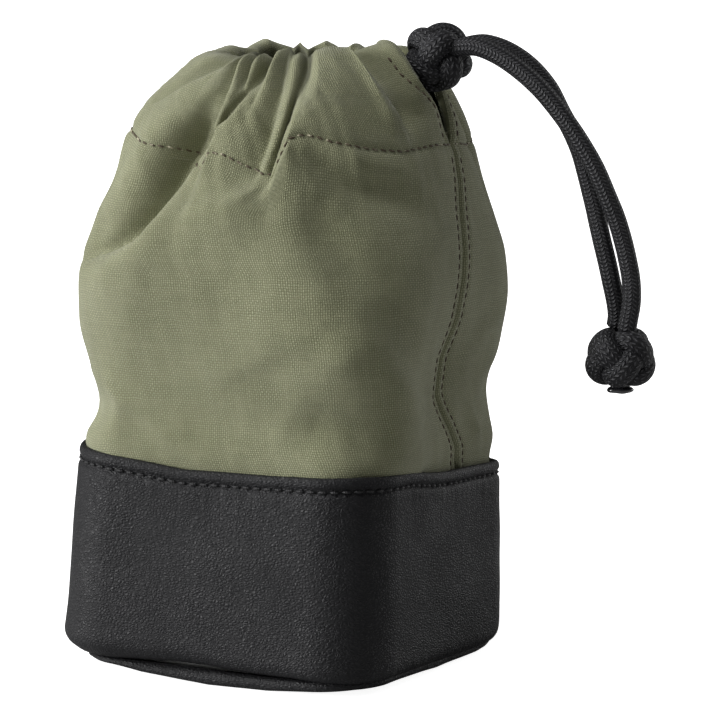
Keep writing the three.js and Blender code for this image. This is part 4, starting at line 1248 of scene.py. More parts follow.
@dataclass(frozen=True)
class Thread:
    """A sewing thread's stitches.

    Attributes:
        pitch: Distance from stitch to stitch in mm.
        length: Length of a stitch in mm.
        radius: The thread's radius in mm.
        slant: How far a stitch slants across the row, in mm.
        sides: Points round the thread.
        rings: Rings along a stitch.
    """

    pitch: float = 1.95
    length: float = 1.55
    radius: float = 0.21
    slant: float = 0.12
    sides: int = 6
    rings: int = 6

    def add_row(self, draft: Draft, line: Array, out: Array) -> None:
        """Adds a row of stitches along a line.

        With t from -1 to 1 along a stitch, its middle line lies r(1.05(1 - t^2) - 0.6) above the row, its radius is
        r sqrt(1 - 0.85 t^4), and it strays slant * t across the row, give or take 0.05 mm.

        Args:
            draft: The piece in the making.
            line: The row's points.
            out: The way out of the surface at each of them.
        """
        sides, rings = self.sides, self.rings
        run = lengths_along(line)
        centres = np.arange(0.5 * self.pitch, run[-1] - 0.4 * self.pitch, self.pitch)
        t = np.linspace(-1.0, 1.0, rings)
        at = centres[:, None] + 0.5 * self.length * t
        here, normal = (np.stack([np.interp(at, run, of[:, k]) for k in range(3)], axis=-1) for of in (line, out))
        normal = unit(normal)
        along = unit(np.gradient(here, axis=1))
        across = unit(np.cross(along, normal))
        bow = self.radius * (1.05 * (1.0 - t**2) - 0.6)
        thick = self.radius * np.sqrt(1.0 - 0.85 * t**4)
        stray = self.slant * t + 0.05 * np.sin(12.9898 * np.arange(len(centres)))[:, None]
        middle = here + bow[:, None] * normal + stray[..., None] * across
        angle = TURN * np.arange(sides) / sides
        ring = np.cos(angle)[:, None] * across[:, :, None] + np.sin(angle)[:, None] * normal[:, :, None]
        points = middle[:, :, None] + thick[:, None, None] * ring
        first = draft.add_points(points)
        start = first + (np.arange(len(centres)) * rings * sides)[:, None, None]
        r, s = np.meshgrid(np.arange(rings - 1), np.arange(sides), indexing="ij")
        steps = [(0, 0), (1, 0), (1, 1), (0, 1)]
        walls = np.stack([start + (r + i) * sides + (s + j) % sides for i, j in steps], axis=-1)
        ways = [np.stack([(s + j) / sides * PATTERN_TURN, (r + i) * 0.3], axis=-1) for i, j in steps]
        pattern = np.stack(ways, axis=-2)
        draft.add_faces(walls.reshape(-1, 4), np.broadcast_to(pattern, (len(centres), *pattern.shape)))
        near = start[:, 0] + np.arange(sides)
        far = start[:, 0] + (rings - 1) * sides + np.arange(sides)[::-1]
        for cap in (near, far):
            draft.add_faces(cap, np.zeros((len(cap), sides, 2)))


CASING_THREAD = Thread()
SLIT_THREAD = Thread(pitch=2.1, length=1.5, radius=0.2, slant=0.03)
SEAM_THREAD = Thread(pitch=2.0, length=1.5, radius=0.17, slant=0.04)
LEATHER_THREAD = Thread(pitch=2.45, length=1.9, radius=0.3, slant=0.03)


def settle(piece: Piece, body: str | None, slot: str, *nodes: str) -> Piece:
    """Puts a finished piece on a body, hides the nodes that it stands for, and reports it.

    Args:
        piece: The piece.
        body: The body that it rides on, or None to leave it on none.
        slot: The record's material slot. Not used.
        *nodes: The nodes that it replaces.

    Returns:
        The piece.
    """
    if body is not None:
        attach(piece, body)
    if nodes:
        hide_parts(*nodes)
    logger.info("%s: %d points, on %s", piece.name, len(piece.data.vertices), body or "two bodies")
    return piece


# Canvas


class Side(Enum):
    """Which half of the canvas: the one in front of the slit or the one behind it."""

    FRONT = -1
    BACK = 1


@dataclass(frozen=True)
class CanvasHalf:
    """One half of the canvas body: a strip that runs up from the leather, over the rim and down inside the casing.

    Attributes:
        side: Which half it is.
        cut: Size of the flat cut in metres, width and length. Not used.
        thickness: The cloth's thickness in mm.
        slit_hem: How much thicker the hem makes the slit's edge, and how wide it is, in mm.
        hem_span: Heights between which that hem begins.
        hem_depth: Inset in mm up to which the cloth counts as the slit's edge and not as the casing's back.
        even_gather: Depth of all valleys together, in mm, at which half the spare cloth lies in them.
        slit_row: Distance of the stitch row from the slit's edge in mm.
        casing_proud, seam_proud: How far the casing's and the seams' stitches stand out of the cloth, in mm.
        columns: How many points go round.
    """

    side: Side
    cut: tuple[float, float] = (0.150, 0.125)
    thickness: float = 0.8
    slit_hem: tuple[float, float] = (0.9, 4.5)
    hem_span: Span = (108.0, 111.0)
    hem_depth: float = 3.0
    even_gather: float = 12.0
    slit_row: float = 2.8
    casing_proud: float = 0.05
    seam_proud: float = 0.02
    columns: int = 290

    @property
    def name(self) -> str:
        """The half's word in piece names."""
        return self.side.name.lower()

    def edge(self, form: PouchForm, height: Array) -> Array:
        """Turn of the half's edge on the slit's side."""
        return form.edges(height)[0 if self.side is Side.FRONT else 1]

    def course(self) -> Array:
        """The strip's way up, over and down, as height and inset: the face, the rolled rim and the casing's back."""
        face = np.concatenate([np.linspace(34.0, 103.0, 62), np.linspace(103.5, 126.5, 46)])
        face = np.stack([face, np.zeros_like(face)], axis=1)
        rim = np.array([
            (127.0, 0.0), (127.85, 0.6), (128.35, 1.9), (128.35, 3.9), (127.6, 5.6), (125.2, 8.2), (121.5, 9.7),
            (118.0, 9.7), (114.5, 7.4), (111.6, 3.8), (109.6, 2.4), (106.7, 2.2),
        ])
        return np.concatenate([face, smooth_line(rim, 34)])

    def build(self, form: PouchForm) -> Piece:
        """Builds the strip as a closed sheet.

        The cloth's threads keep their width on the face of each pleat: what a row is shorter than the cut is taken
        up where the valleys are deep.

        Args:
            form: The pouch's outer surface.

        Returns:
            The piece.
        """
        course, sign = self.course(), self.side.value
        share, height, inset = spread(course, np.linspace(0.0, 1.0, self.columns))
        edge = self.edge(form, height)
        far = sign * (0.5 - form.seam_gap / form.girth(height))
        turn = edge + (far - edge) * share
        outer = form.skin(turn, height, inset)
        round_way, upward = np.gradient(outer, axis=1), np.gradient(outer, axis=0)
        normal = unit(np.cross(unit(round_way), unit(upward))) * sign
        near, _ = form.edge_distance(turn, height)
        thicker, wide = self.slit_hem
        hem = thicker * bell(near, wide, 4.0) * smoothstep(*self.hem_span, height) * (inset < self.hem_depth)
        inner = outer - normal * (self.thickness + hem)[..., None]
        row_length = lengths_along(outer, axis=1)
        total = row_length[:, -1:]
        missing = np.maximum(total.max() - total, 0.0)
        taken = np.cumsum(form.gather(turn, height)[0], axis=1) * total / self.columns
        in_pleats = taken[:, -1:] / (taken[:, -1:] + self.even_gather)
        taken_up = (1.0 - in_pleats) * (row_length / total) + in_pleats * taken / np.maximum(taken[:, -1:], 1e-6)
        up = lengths_along(outer, axis=0).mean(axis=1, keepdims=True) + 0.0 * turn
        pattern = np.stack([(row_length + missing * taken_up) * sign, up], axis=-1)
        draft = Draft()
        draft.add_slab(outer, inner, pattern, flip=self.side is Side.FRONT)
        piece = draft.build(f"canvas_{self.name}", Finish.CANVAS)
        return settle(piece, "pouch", "canvas", f"canvas_{self.name}_panel")

    def sew(self, form: PouchForm) -> list[Piece]:
        """Builds the half's stitches: the casing's row, and a row along the slit and each seam.

        Args:
            form: The pouch's outer surface.

        Returns:
            The pieces: the casing's thread and the seams' thread.
        """
        sign = self.side.value
        casing, seams = Draft(), Draft()
        row = np.full(900, form.stitch_height)
        edge = self.edge(form, row)
        turn = edge + (sign * 0.5 - edge) * np.linspace(0.012, 0.99, 900)
        CASING_THREAD.add_row(casing, *form.seam_line(turn, row, -self.casing_proud))
        slit = np.linspace(110.2, 127.4, 160)
        turn = self.edge(form, slit) + sign * self.slit_row / form.girth(slit)
        SLIT_THREAD.add_row(seams, *form.seam_line(turn, slit, -self.seam_proud))
        face = np.linspace(40.0, 108.2, 500)
        beside = sign * form.row_sink[1] / form.girth(face)
        for turn in (self.edge(form, face) + beside, sign * 0.5 - beside):
            SEAM_THREAD.add_row(seams, *form.seam_line(turn, face, -self.seam_proud))
        first = casing.build(f"casing_stitches_{self.name}", Finish.CANVAS_THREAD, outward=True)
        second = seams.build(f"seam_stitches_{self.name}", Finish.SEAM_THREAD, outward=True)
        return [settle(piece, "pouch", "canvas") for piece in (first, second)]


# Lining and padding


def spread(profile: Array, turn: Array) -> tuple[Array, Array, Array]:
    """The turns, and a profile's heights and insets, each as a grid of the profile's rows by the turns."""
    way, height, inset = np.broadcast_arrays(turn[None], profile[:, :1], profile[:, 1:])
    return way.copy(), height.copy(), inset.copy()


class RingPlace:
    """Where a point of a ring lies, by turn, height and inset."""

    def at(self, turn: Array, height: Array, inset: Array) -> Array:
        """The places of the points."""
        raise NotImplementedError


@dataclass(frozen=True)
class Ring:
    """A profile carried round the pouch into a closed body.

    Attributes:
        name: The piece's name.
        finish: Its finish.
        place: The rule that gives a point for a turn, a height and an inset.
        profile: The profile's points, as height and inset.
        turn: The turns to carry it to.
        closed: Whether the profile's end meets its start. If not, its two ends are drawn to poles.
    """

    name: str
    finish: Finish
    place: RingPlace
    profile: Array
    turn: Array
    closed: bool = False

    def build(self, sink: Array | float = 0.0, level: bool = False) -> Piece:
        """Builds the body.

        Args:
            sink: Inset to add to the profile's, in mm.
            level: Whether each row stays at its profile's height.

        Returns:
            The piece, not yet on a body.
        """
        turn, height, inset = spread(self.profile, self.turn)
        grid = self.place.at(turn, height, inset + sink)
        across = lengths_along(np.concatenate([grid, grid[:, :1]], axis=1), axis=1)
        course = self.profile
        if self.closed:
            across = np.concatenate([across, across[:1]])
            course = np.concatenate([course, course[:1]])
        run = lengths_along(course)[:, None] + 0.0 * across
        if level:
            grid[..., 2] = height
        if not self.closed:
            grid[[0, -1]] = grid[[0, -1]].mean(axis=1, keepdims=True)
        draft = Draft()
        draft.add_grid(grid, np.stack([across, run], axis=-1), ring_rows=self.closed, ring_columns=True)
        return draft.build(self.name, self.finish, merge=0.0 if self.closed else POLE_MERGE, outward=True)


def turns(count: int) -> Array:
    """Even turns round the pouch, the last short of the first."""
    return np.linspace(0.0, 1.0, count, endpoint=False)


@dataclass(frozen=True)
class BandPlace(RingPlace):
    """The leather band's outer face: a rounded square that narrows and leans a little as it rises.

    Attributes:
        half_width: Half the width at the foot and at the top.
        corner: The corners' radius.
        foot: Height of the straight foot.
        top: Height of the top edge.
        lean: How far the top has moved towards +X.
        lip_rise: How far the top edge stands above its height, as turn and mm.
        fold_rise: The same for the lower fold.
        fold_round: How far the wall rounds inwards above the fold.
        sit_rise: How far the bottom panel's edge lifts off the ground.
        lip_span, fold_start, fold_span, round_span, sit_top: Heights at which these fade in or out.
        round_inset, sit_inset: Insets between which they fade in, from the middle outwards.
    """

    half_width: tuple[float, float] = (37.5, 36.2)
    corner: float = 14.0
    foot: float = 8.3
    top: float = 43.3
    lean: float = 1.7
    lip_rise: Rows = (
        (0, -1.4), (0.06, -1.9), (0.08, -2.2), (0.1, -2.4), (0.125, -2.9), (0.2, -1.8), (0.3, 0), (0.4, 1),
        (0.5, 2.6), (0.57, 3.9), (0.6, 4.2), (0.65, 3), (0.72, 0.9), (0.8, 0.8), (0.875, 1.1), (0.93, 0.5),
        (0.97, -0.8),
    )
    fold_rise: Rows = (
        (0, -1), (0.04, -1.2), (0.08, -1.2), (0.125, -1), (0.25, 0.2), (0.375, 0.6), (0.5, 0.6), (0.58, 0.5),
        (0.605, 0.6), (0.635, 0.35), (0.655, 0.3), (0.68, 0.9), (0.7, 1.15), (0.72, 1.5), (0.75, 1.45), (0.775, 0.9),
        (0.8, 0.55), (0.83, 0.2), (0.87, -0.85), (0.91, -0.75), (0.95, -0.9),
    )
    fold_round: Rows = (
        (0, 1), (0.08, 1), (0.125, 1.4), (0.25, 1.5), (0.375, 3.5), (0.5, 2), (0.58, 3.4), (0.625, 4.3), (0.65, 3.8),
        (0.68, 2.6), (0.75, 0.9), (0.81, 0.4), (0.875, 0.5), (0.91, 0.7), (0.95, 0.9),
    )
    sit_rise: Rows = (
        (0, 0.4), (0.08, 0.6), (0.125, 1.6), (0.25, 1), (0.375, 3), (0.5, 1.2), (0.58, 2), (0.625, 2.4), (0.65, 1.9),
        (0.68, 1), (0.75, 0), (0.81, 0), (0.875, 1.1), (0.91, 1.2), (0.95, 0.9),
    )
    lip_span: Span = (22.0, 43.0)
    fold_start: Span = (2.6, 3.2)
    fold_span: Span = (3.0, 16.0)
    round_span: Span = (2.0, 9.5)
    round_inset: Span = (30.0, 6.0)
    sit_top: float = 4.0
    sit_inset: Span = (13.0, 4.0)

    def at(self, turn: Array, height: Array, inset: Array) -> Array:
        """The places of the points: the rounded square less the inset, its height shifted with the lip and fold."""
        tables = (self.lip_rise, self.fold_rise, self.fold_round, self.sit_rise)
        lip, fold, fold_round, sit = (look_up(table, turn % 1.0, period=1.0) for table in tables)
        rise = np.clip((height - self.foot) / (self.top - self.foot), 0.0, 1.2)
        low = 1.0 - smoothstep(*self.round_span, height)
        inward = inset + fold_round * low**2 * smoothstep(*self.round_inset, inset)
        half = self.half_width[0] + (self.half_width[1] - self.half_width[0]) * rise - inward
        corner = np.maximum(self.corner - inward, 2.0)
        angle = TURN * turn
        reach = rounded_square_reach(angle, half, np.minimum(corner, np.maximum(half, 0.0)))
        lip = lip * smoothstep(*self.lip_span, height)
        fold = fold * (1.0 - smoothstep(*self.fold_span, height)) * smoothstep(*self.fold_start, height)
        sit = sit * smoothstep(*self.sit_inset, inset) * (1.0 - np.clip(height / self.sit_top, 0.0, 1.0))
        high = height + lip + fold + sit
        return np.stack([self.lean * rise + reach * np.cos(angle), reach * np.sin(angle), high], axis=-1)


@dataclass(frozen=True)
class LiningPlace(RingPlace):
    """The lining: behind the canvas above the leather, and behind the padding below it.

    Attributes:
        form: The pouch's outer surface.
        band: The leather band's outer face.
        behind: How far the lining lies behind the band's inner face, in mm.
        foot: Height of the canvas's own lower edge.
        span: Heights between which the lining leaves the band for the canvas.
        steps: How far to each side it looks for deeper cloth, in mm.
        deepest: Depth of the deepest valley that it makes up for, in mm.
    """

    form: PouchForm
    band: BandPlace
    behind: float = 4.1
    foot: float = 34.0
    span: Span = (40.0, 52.0)
    steps: tuple[float, ...] = (-2.8, -1.4, 1.4, 2.8)
    deepest: float = 9.0

    def at(self, turn: Array, height: Array, inset: Array) -> Array:
        """The places of the points: the band's below the leather's top and the canvas form's above, eased together."""
        low = self.band.at(turn, height, inset + self.behind)
        above = np.maximum(height, self.foot)
        high = self.form.point(turn, above, self.hold(turn, above, inset))
        share = smoothstep(*self.span, height)[..., None]
        return low + (high - low) * share

    def hold(self, turn: Array, height: Array, inset: Array) -> Array:
        """The inset at which the lining clears the valleys: it spans the deepest cloth a little to each side.

        Args:
            turn, height: Turn and height in mm of each point.
            inset: The inset wanted from the cloth's outer surface, in mm.

        Returns:
            The inset to ask the form for, in mm, which makes up for the form's shallower valleys further in.
        """
        depth = self.form.gather(turn, height)[0]
        sunk = depth - self.form.drape(turn, height)
        deepest = sunk
        for step in self.steps:
            beside = turn + step / self.form.girth(height)
            deepest = np.maximum(deepest, self.form.gather(beside, height)[0] - self.form.drape(beside, height))
        shallow = self.form.casing_fill / self.form.casing_thickness * np.minimum(depth, self.deepest)
        return (inset + deepest - sunk) / (1.0 - shallow)


@dataclass(frozen=True)
class InnerPieces:
    """What is inside: the lining bag, the padded sleeve in the wall and the padded disc in the bottom.

    Attributes:
        lining_thickness: Thickness of the lining in mm.
        lining_foot: Height of its bottom.
        lining_top: Height of its top edge.
        quilting: How far the sleeve's inner face swells between its quilting lines, and how far it sinks in all.
        swells: How many swells go round the sleeve.
    """

    lining_thickness: float = 0.8
    lining_foot: float = 5.2
    lining_top: float = 106.1
    quilting: tuple[float, float] = (0.35, 0.3)
    swells: int = 8

    def build_lining(self, form: PouchForm, band: BandPlace) -> Piece:
        """Builds the lining bag as a closed shell, its top edge turned under the casing's hem."""
        thick, foot, top = self.lining_thickness, self.lining_foot, self.lining_top
        outside = np.array([
            (foot, 33.2), (foot, 20.0), (foot, 8.0), (6.2, 3.2), (9.5, 1.35), (20.0, 1.3), (40.0, 1.3), (52.0, 1.35),
            (70.0, 1.3), (90.0, 1.3), (top - 0.4, 1.3), (top, 1.6),
        ])
        inside = outside[::-1] + np.array([0.0, thick])
        inside[-1] = (foot + thick, 33.2)
        inside[-4:, 0] = (6.8, foot + thick, foot + thick, foot + thick)
        profile = np.concatenate([smooth_line(outside, 58), smooth_line(inside, 58)])
        piece = Ring("lining_bag", Finish.LINING, LiningPlace(form, band), profile, turns(280)).build()
        return settle(piece, "pouch", "lining", "lining")

    def build_sleeve(self, band: BandPlace) -> Piece:
        """Builds the padded sleeve: a closed ring, soft at its edges and quilted in eight swells round the wall.

        With a the angle round, the inner face swells by 0.35 * |cos(4 a)|^0.5 mm between the quilting lines, less
        0.3 mm.
        """
        profile = smooth_line(np.array([
            (5.4, 3.6), (5.0, 4.4), (5.6, 5.0), (9.0, 5.05), (20.0, 5.05), (32.0, 5.05), (41.2, 5.0), (42.2, 4.4),
            (41.9, 3.7), (40.0, 3.55), (34.6, 3.55), (33.5, 3.1), (33.1, 2.2), (32.0, 1.95), (20.0, 1.95),
            (9.0, 1.95), (6.4, 2.3), (5.4, 3.5),
        ]), 90)[:-1]
        turn = turns(240)
        swell, sink = self.quilting
        swells = swell * np.sqrt(np.abs(np.cos(0.5 * self.swells * TURN * turn)))[None] - sink
        sunk = swells * smoothstep(4.0, 5.0, profile[:, 1:])
        piece = Ring("padded_sleeve", Finish.FOAM, band, profile, turn, closed=True).build(sunk)
        return settle(piece, "pouch", "foam", "wall_padding")

    def build_disc(self, band: BandPlace) -> Piece:
        """Builds the padded disc of the bottom: a crowned pad, thinner at its rounded edge."""
        profile = smooth_line(np.array([
            (1.95, 37.0), (1.95, 20.0), (2.0, 9.0), (2.9, 6.2), (3.8, 4.8), (4.45, 5.4), (4.8, 8.0), (4.95, 20.0),
            (5.0, 37.0),
        ]), 64)
        piece = Ring("padded_disc", Finish.FOAM, band, profile, turns(180)).build(level=True)
        return settle(piece, "pouch", "foam", "bottom_padding")


# Leather


@dataclass(frozen=True)
class LeatherPlace(BandPlace):
    """The band's face with its own life: slack between seams, fine upright wrinkles and a dip along the stitches.

    Attributes:
        stitch_drop: How far below the top edge the stitch row lies, in mm.
        slack: Rows of size, wavelength round, wavelength up and seed of the broad wobble, less than zero outwards.
        dip: How far the stitch row dips, and its reach.
        wrinkles, fold_wrinkles: Size, wavelengths and seed of the wrinkles under the row and at the lower fold.
        fold_height: Height of that fold, and how far its wrinkles reach.
        skin: Insets between which all this fades in, from the inner side outwards.
    """

    stitch_drop: float = 2.7
    slack: Rows = ((-0.35, 11.0, 9.0, 0.9), (-0.12, 4.0, 4.0, 3.0))
    dip: tuple[float, float] = (0.4, 0.75)
    wrinkles: tuple[float, ...] = (0.13, 0.42, 9.0, 5.0)
    fold_wrinkles: tuple[float, ...] = (0.10, 0.7, 2.5, 1.0)
    fold_height: tuple[float, float] = (4.6, 2.0)
    skin: Span = (4.4, 1.2)

    def at(self, turn: Array, height: Array, inset: Array) -> Array:
        """The places of the points.

        Broad wobble of 0.35 and 0.12 mm stands out. The inset grows by a dip of 0.4 mm along the stitch row, by
        upright wrinkles of 0.13 mm under that row, one every 2.6 mm or so, which fade out 8 mm lower, and by wrinkles
        of 0.1 mm at the lower fold.

        Args:
            turn, height: Turn and height in mm of each point.
            inset: Depth below the outer face in mm.

        Returns:
            The places in mm.
        """
        under = self.top - self.stitch_drop - height
        below = bell(np.maximum(under, 0.0), 6.0, 1.5) * smoothstep(-1.2, 0.6, under)
        near_fold = bell(height - self.fold_height[0], self.fold_height[1])
        out = self.dip[0] * bell(under, self.dip[1])
        wobbles = [(1.0, row) for row in self.slack] + [(below, self.wrinkles), (near_fold, self.fold_wrinkles)]
        for share, (size, wide, tall, seed) in wobbles:
            out = out + size * share * wobble(turn * MEAN_GIRTH / wide, height / tall, seed)
        return super().at(turn, height, inset + out * smoothstep(*self.skin, inset))


@dataclass(frozen=True)
class LeatherBase:
    """The padded base's leather: the band with its turned lip and fold, the bottom panel and the black stitches.

    Attributes:
        place: The band's outer face.
        columns: How many points go round the band.
        girth: Length round the band in mm.
        joint_turn: Turn of the joint of its two ends.
        joint: How far the joint sinks, and how far that reaches, in mm.
    """

    place: LeatherPlace = LeatherPlace()
    columns: int = 460
    girth: float = 245.0
    joint_turn: float = 0.30
    joint: tuple[float, float] = (0.8, 0.45)

    def build_band(self) -> Piece:
        """Builds the band: a profile with a rolled lower fold and a folded lip, carried round the pouch.

        The band's two ends butt in a joint at the back, which sinks 0.8 * exp(-(d / 0.45)^2) mm.
        """
        outside = np.array([
            (3.1, 4.2), (3.0, 2.6), (3.15, 1.1), (3.8, 0.3), (5.2, -0.15), (8.3, 0.0), (16.0, 0.0), (28.0, 0.0),
            (38.6, 0.0), (39.6, 0.1), (40.6, 0.25), (41.6, 0.0), (42.5, 0.05), (43.1, 0.35), (43.35, 0.9),
        ])
        inside = np.array([
            (43.35, 0.9), (43.1, 1.45), (42.3, 1.65), (38.0, 1.6), (24.0, 1.6), (8.3, 1.6), (5.8, 1.8), (4.9, 2.6),
            (4.7, 4.2),
        ])
        profile = np.concatenate([smooth_line(outside, 92), smooth_line(inside, 26)[1:]])
        turn = self.joint_turn + turns(self.columns)
        deep, wide = self.joint
        joint = deep * bell(shorter_way(turn - self.joint_turn) * self.girth, wide)
        sink = joint * smoothstep(1.5, 0.6, profile[:, 1:])
        piece = Ring("leather_band", Finish.LEATHER, self.place, profile, turn, closed=True).build(sink)
        return settle(piece, "pouch", "leather", "leather_wall")

    def build_bottom(self) -> Piece:
        """Builds the bottom panel: flat where it stands, and rounded up to the band's fold at its edge."""
        under = np.array([
            (0.0, 37.0), (0.0, 24.0), (0.0, 6.0), (0.0, 3.6), (0.12, 2.2), (0.5, 1.3), (1.2, 0.9), (2.0, 0.9),
            (2.6, 1.3),
        ])
        over = np.array([(2.85, 2.2), (2.3, 4.2), (1.75, 8.0), (1.6, 24.0), (1.6, 37.0)])
        profile = np.concatenate([smooth_line(under, 48), smooth_line(over, 24)])
        piece = Ring("leather_panel", Finish.LEATHER, self.place, profile, turns(240)).build()
        return settle(piece, "pouch", "leather", "leather_bottom")

    def sew(self) -> Piece:
        """Builds the black stitch row under the lip."""
        count, step = 1800, 0.002
        turn, flat = np.linspace(0.0, 1.0, count), np.zeros(count)
        height = np.full(count, self.place.top - self.place.stitch_drop)
        ahead, behind = (BandPlace.at(self.place, turn + way, height, flat) for way in (step, -step))
        out = unit(np.cross(unit(ahead - behind), np.array([0.0, 0.0, 1.0])))
        draft = Draft()
        LEATHER_THREAD.add_row(draft, self.place.at(turn, height, flat), out)
        piece = draft.build("leather_stitches", Finish.LEATHER_THREAD, outward=True)
        return settle(piece, "pouch", "leather")


# Cord and knots


@dataclass(frozen=True)
class Drawcord:
    """The drawcord: its loop in the casing, its two free strands, and their routes as x and z in mm.

    Attributes:
        diameter: The cord's diameter in mm.
        gap: The gap between the two strands in mm.
        slim: The tube's radius as a share of the diameter.
        ends: Shares of that radius at each end's last point and the one before it.
        sides: Points round the tube.
        loop_height: Height of the loop in the casing.
        loop_inset: How deep the loop lies below the casing's face.
        loop_start: Turn from the slit's middle at which the loop begins and ends.
        loop_points: How many points it gets.
        exit_route: From the casing to the sliding knot.
        upper_route: From the sliding knot to the bend.
        lower_route: From the bend to the end knot.
        upper_turns: How far the pair has turned about its own line at each point of the upper route.
        lower_turns: The same for the lower route.
    """

    diameter: float = 4.0
    gap: float = 0.3
    slim: float = 0.48
    ends: tuple[float, float] = (0.02, 0.8)
    sides: int = 20
    loop_height: float = 119.4
    loop_inset: float = 6.4
    loop_start: float = 0.036
    loop_points: int = 61
    exit_route: Rows = ((29.4, 122.6), (32.4, 124.9), (35.4, 126.9))
    upper_route: Rows = (
        (35.8, 127.1), (38.8, 128.6), (42.4, 129.5), (45.6, 129.5), (50, 128), (54.6, 125.2), (58.9, 121.3),
        (62.2, 116.9), (65, 112.9), (67.3, 109), (69.1, 105.1),
    )
    lower_route: Rows = (
        (69.3, 104.7), (71.4, 99.1), (72.8, 95.1), (74, 91.1), (75.1, 87), (76, 82.9), (76.5, 79), (76.4, 75.6),
        (75.9, 72.7),
    )
    upper_turns: tuple[float, ...] = (0.0, 0.0, 0.01, 0.02, 0.03, 0.028, 0.0, -0.045, -0.07, -0.1, -0.14)
    lower_turns: tuple[float, ...] = (-0.145, -0.19, -0.235, -0.265, -0.265, -0.25, -0.2, -0.155, -0.15)

    def strand(self, route: Rows, side: int, pair_turns: tuple[float, ...]) -> Array:
        """One strand's points beside a route.

        With h the route's heading and a the pair's turn there, the strand lies half the pair's width away, at
        (-sin a sin h, cos a, sin a cos h).

        Args:
            route: The route's points.
            side: -1 for the front strand, 1 for the rear one.
            pair_turns: The pair's turn at each point.

        Returns:
            The strand's points.
        """
        points = np.array(route)
        ahead = np.concatenate([points[1:], points[-1:]]) - np.concatenate([points[:1], points[:-1]])
        heading = np.arctan2(ahead[:, 1], ahead[:, 0])
        turn = TURN * np.array(pair_turns)
        offset = 0.5 * side * (self.diameter + self.gap)
        outward = offset * np.sin(turn)
        x, z = points[:, 0] - outward * np.sin(heading), points[:, 1] + outward * np.cos(heading)
        return np.stack([x, offset * np.cos(turn), z], axis=1)

    def tube(self, name: str, line: Array, reference: Place) -> Piece:
        """Builds a cord along a line: a round tube, 0.96 of the diameter wide, with closed, rounded ends.

        Args:
            name: The piece's name.
            line: The centreline.
            reference: A direction across the line.

        Returns:
            The piece, not yet on a body.
        """
        radius = np.full(len(line), self.slim * self.diameter)
        radius[[0, -1]] *= self.ends[0]
        radius[[1, -2]] *= self.ends[1]
        grid, pattern = tube_grid(line, radius, radius, np.tile(reference, (len(line), 1)), self.sides)
        draft = Draft()
        draft.add_grid(grid, pattern, ring_columns=True)
        return draft.build(name, Finish.CORD, merge=0.2, outward=True)

    def build_strands(self, ends: list[Piece]) -> list[Piece]:
        """Builds the two free strands, each in one piece from the sliding knot to the end knot.

        Args:
            ends: The pieces that the cord carries: its knots and its melted end. Not used.

        Returns:
            The strands.
        """
        strands = []
        for side, word in ((-1, "front"), (1, "rear")):
            points = np.concatenate([
                self.strand(self.upper_route, side, self.upper_turns)[:-1],
                self.strand(self.lower_route, side, self.lower_turns),
            ])
            line = smooth_line(points, 190)
            piece = self.tube(f"tail_strand_{word}", line, (0.0, 1.0, 0.0))
            tuple(line[0] * MM)
            float(lengths_along(line)[-1]) * MM
            [tuple(p) for p in line[::6] * MM]
            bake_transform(piece)
            settle(piece, None, "cord", f"tail_strand_{word}_upper", f"tail_strand_{word}_lower")
            strands.append(piece)
        return strands

    def build_loop(self, form: PouchForm) -> Piece:
        """Builds the loop: from the sliding knot through the slit, round inside the casing and back."""
        angle = TURN * np.linspace(self.loop_start, 1.0 - self.loop_start, self.loop_points)
        height = np.full(self.loop_points, self.loop_height)
        half, corner, lean = form.level(height)
        reach = rounded_square_reach(angle, half, corner) - self.loop_inset
        inside = np.stack([lean + reach * np.cos(angle), reach * np.sin(angle), height], axis=1)
        rear, front = (self.strand(self.exit_route, side, (0.0,) * 3) for side in (1, -1))
        line = smooth_line(np.concatenate([rear[::-1], inside, front]), 260)
        piece = self.tube("casing_cord", line, (0.0, 0.0, 1.0))
        tuple(line[0] * MM)
        float(lengths_along(line)[-1]) * MM
        [tuple(p) for p in line[::5] * MM]
        return settle(piece, "pouch", "cord", "drawcord_loop")


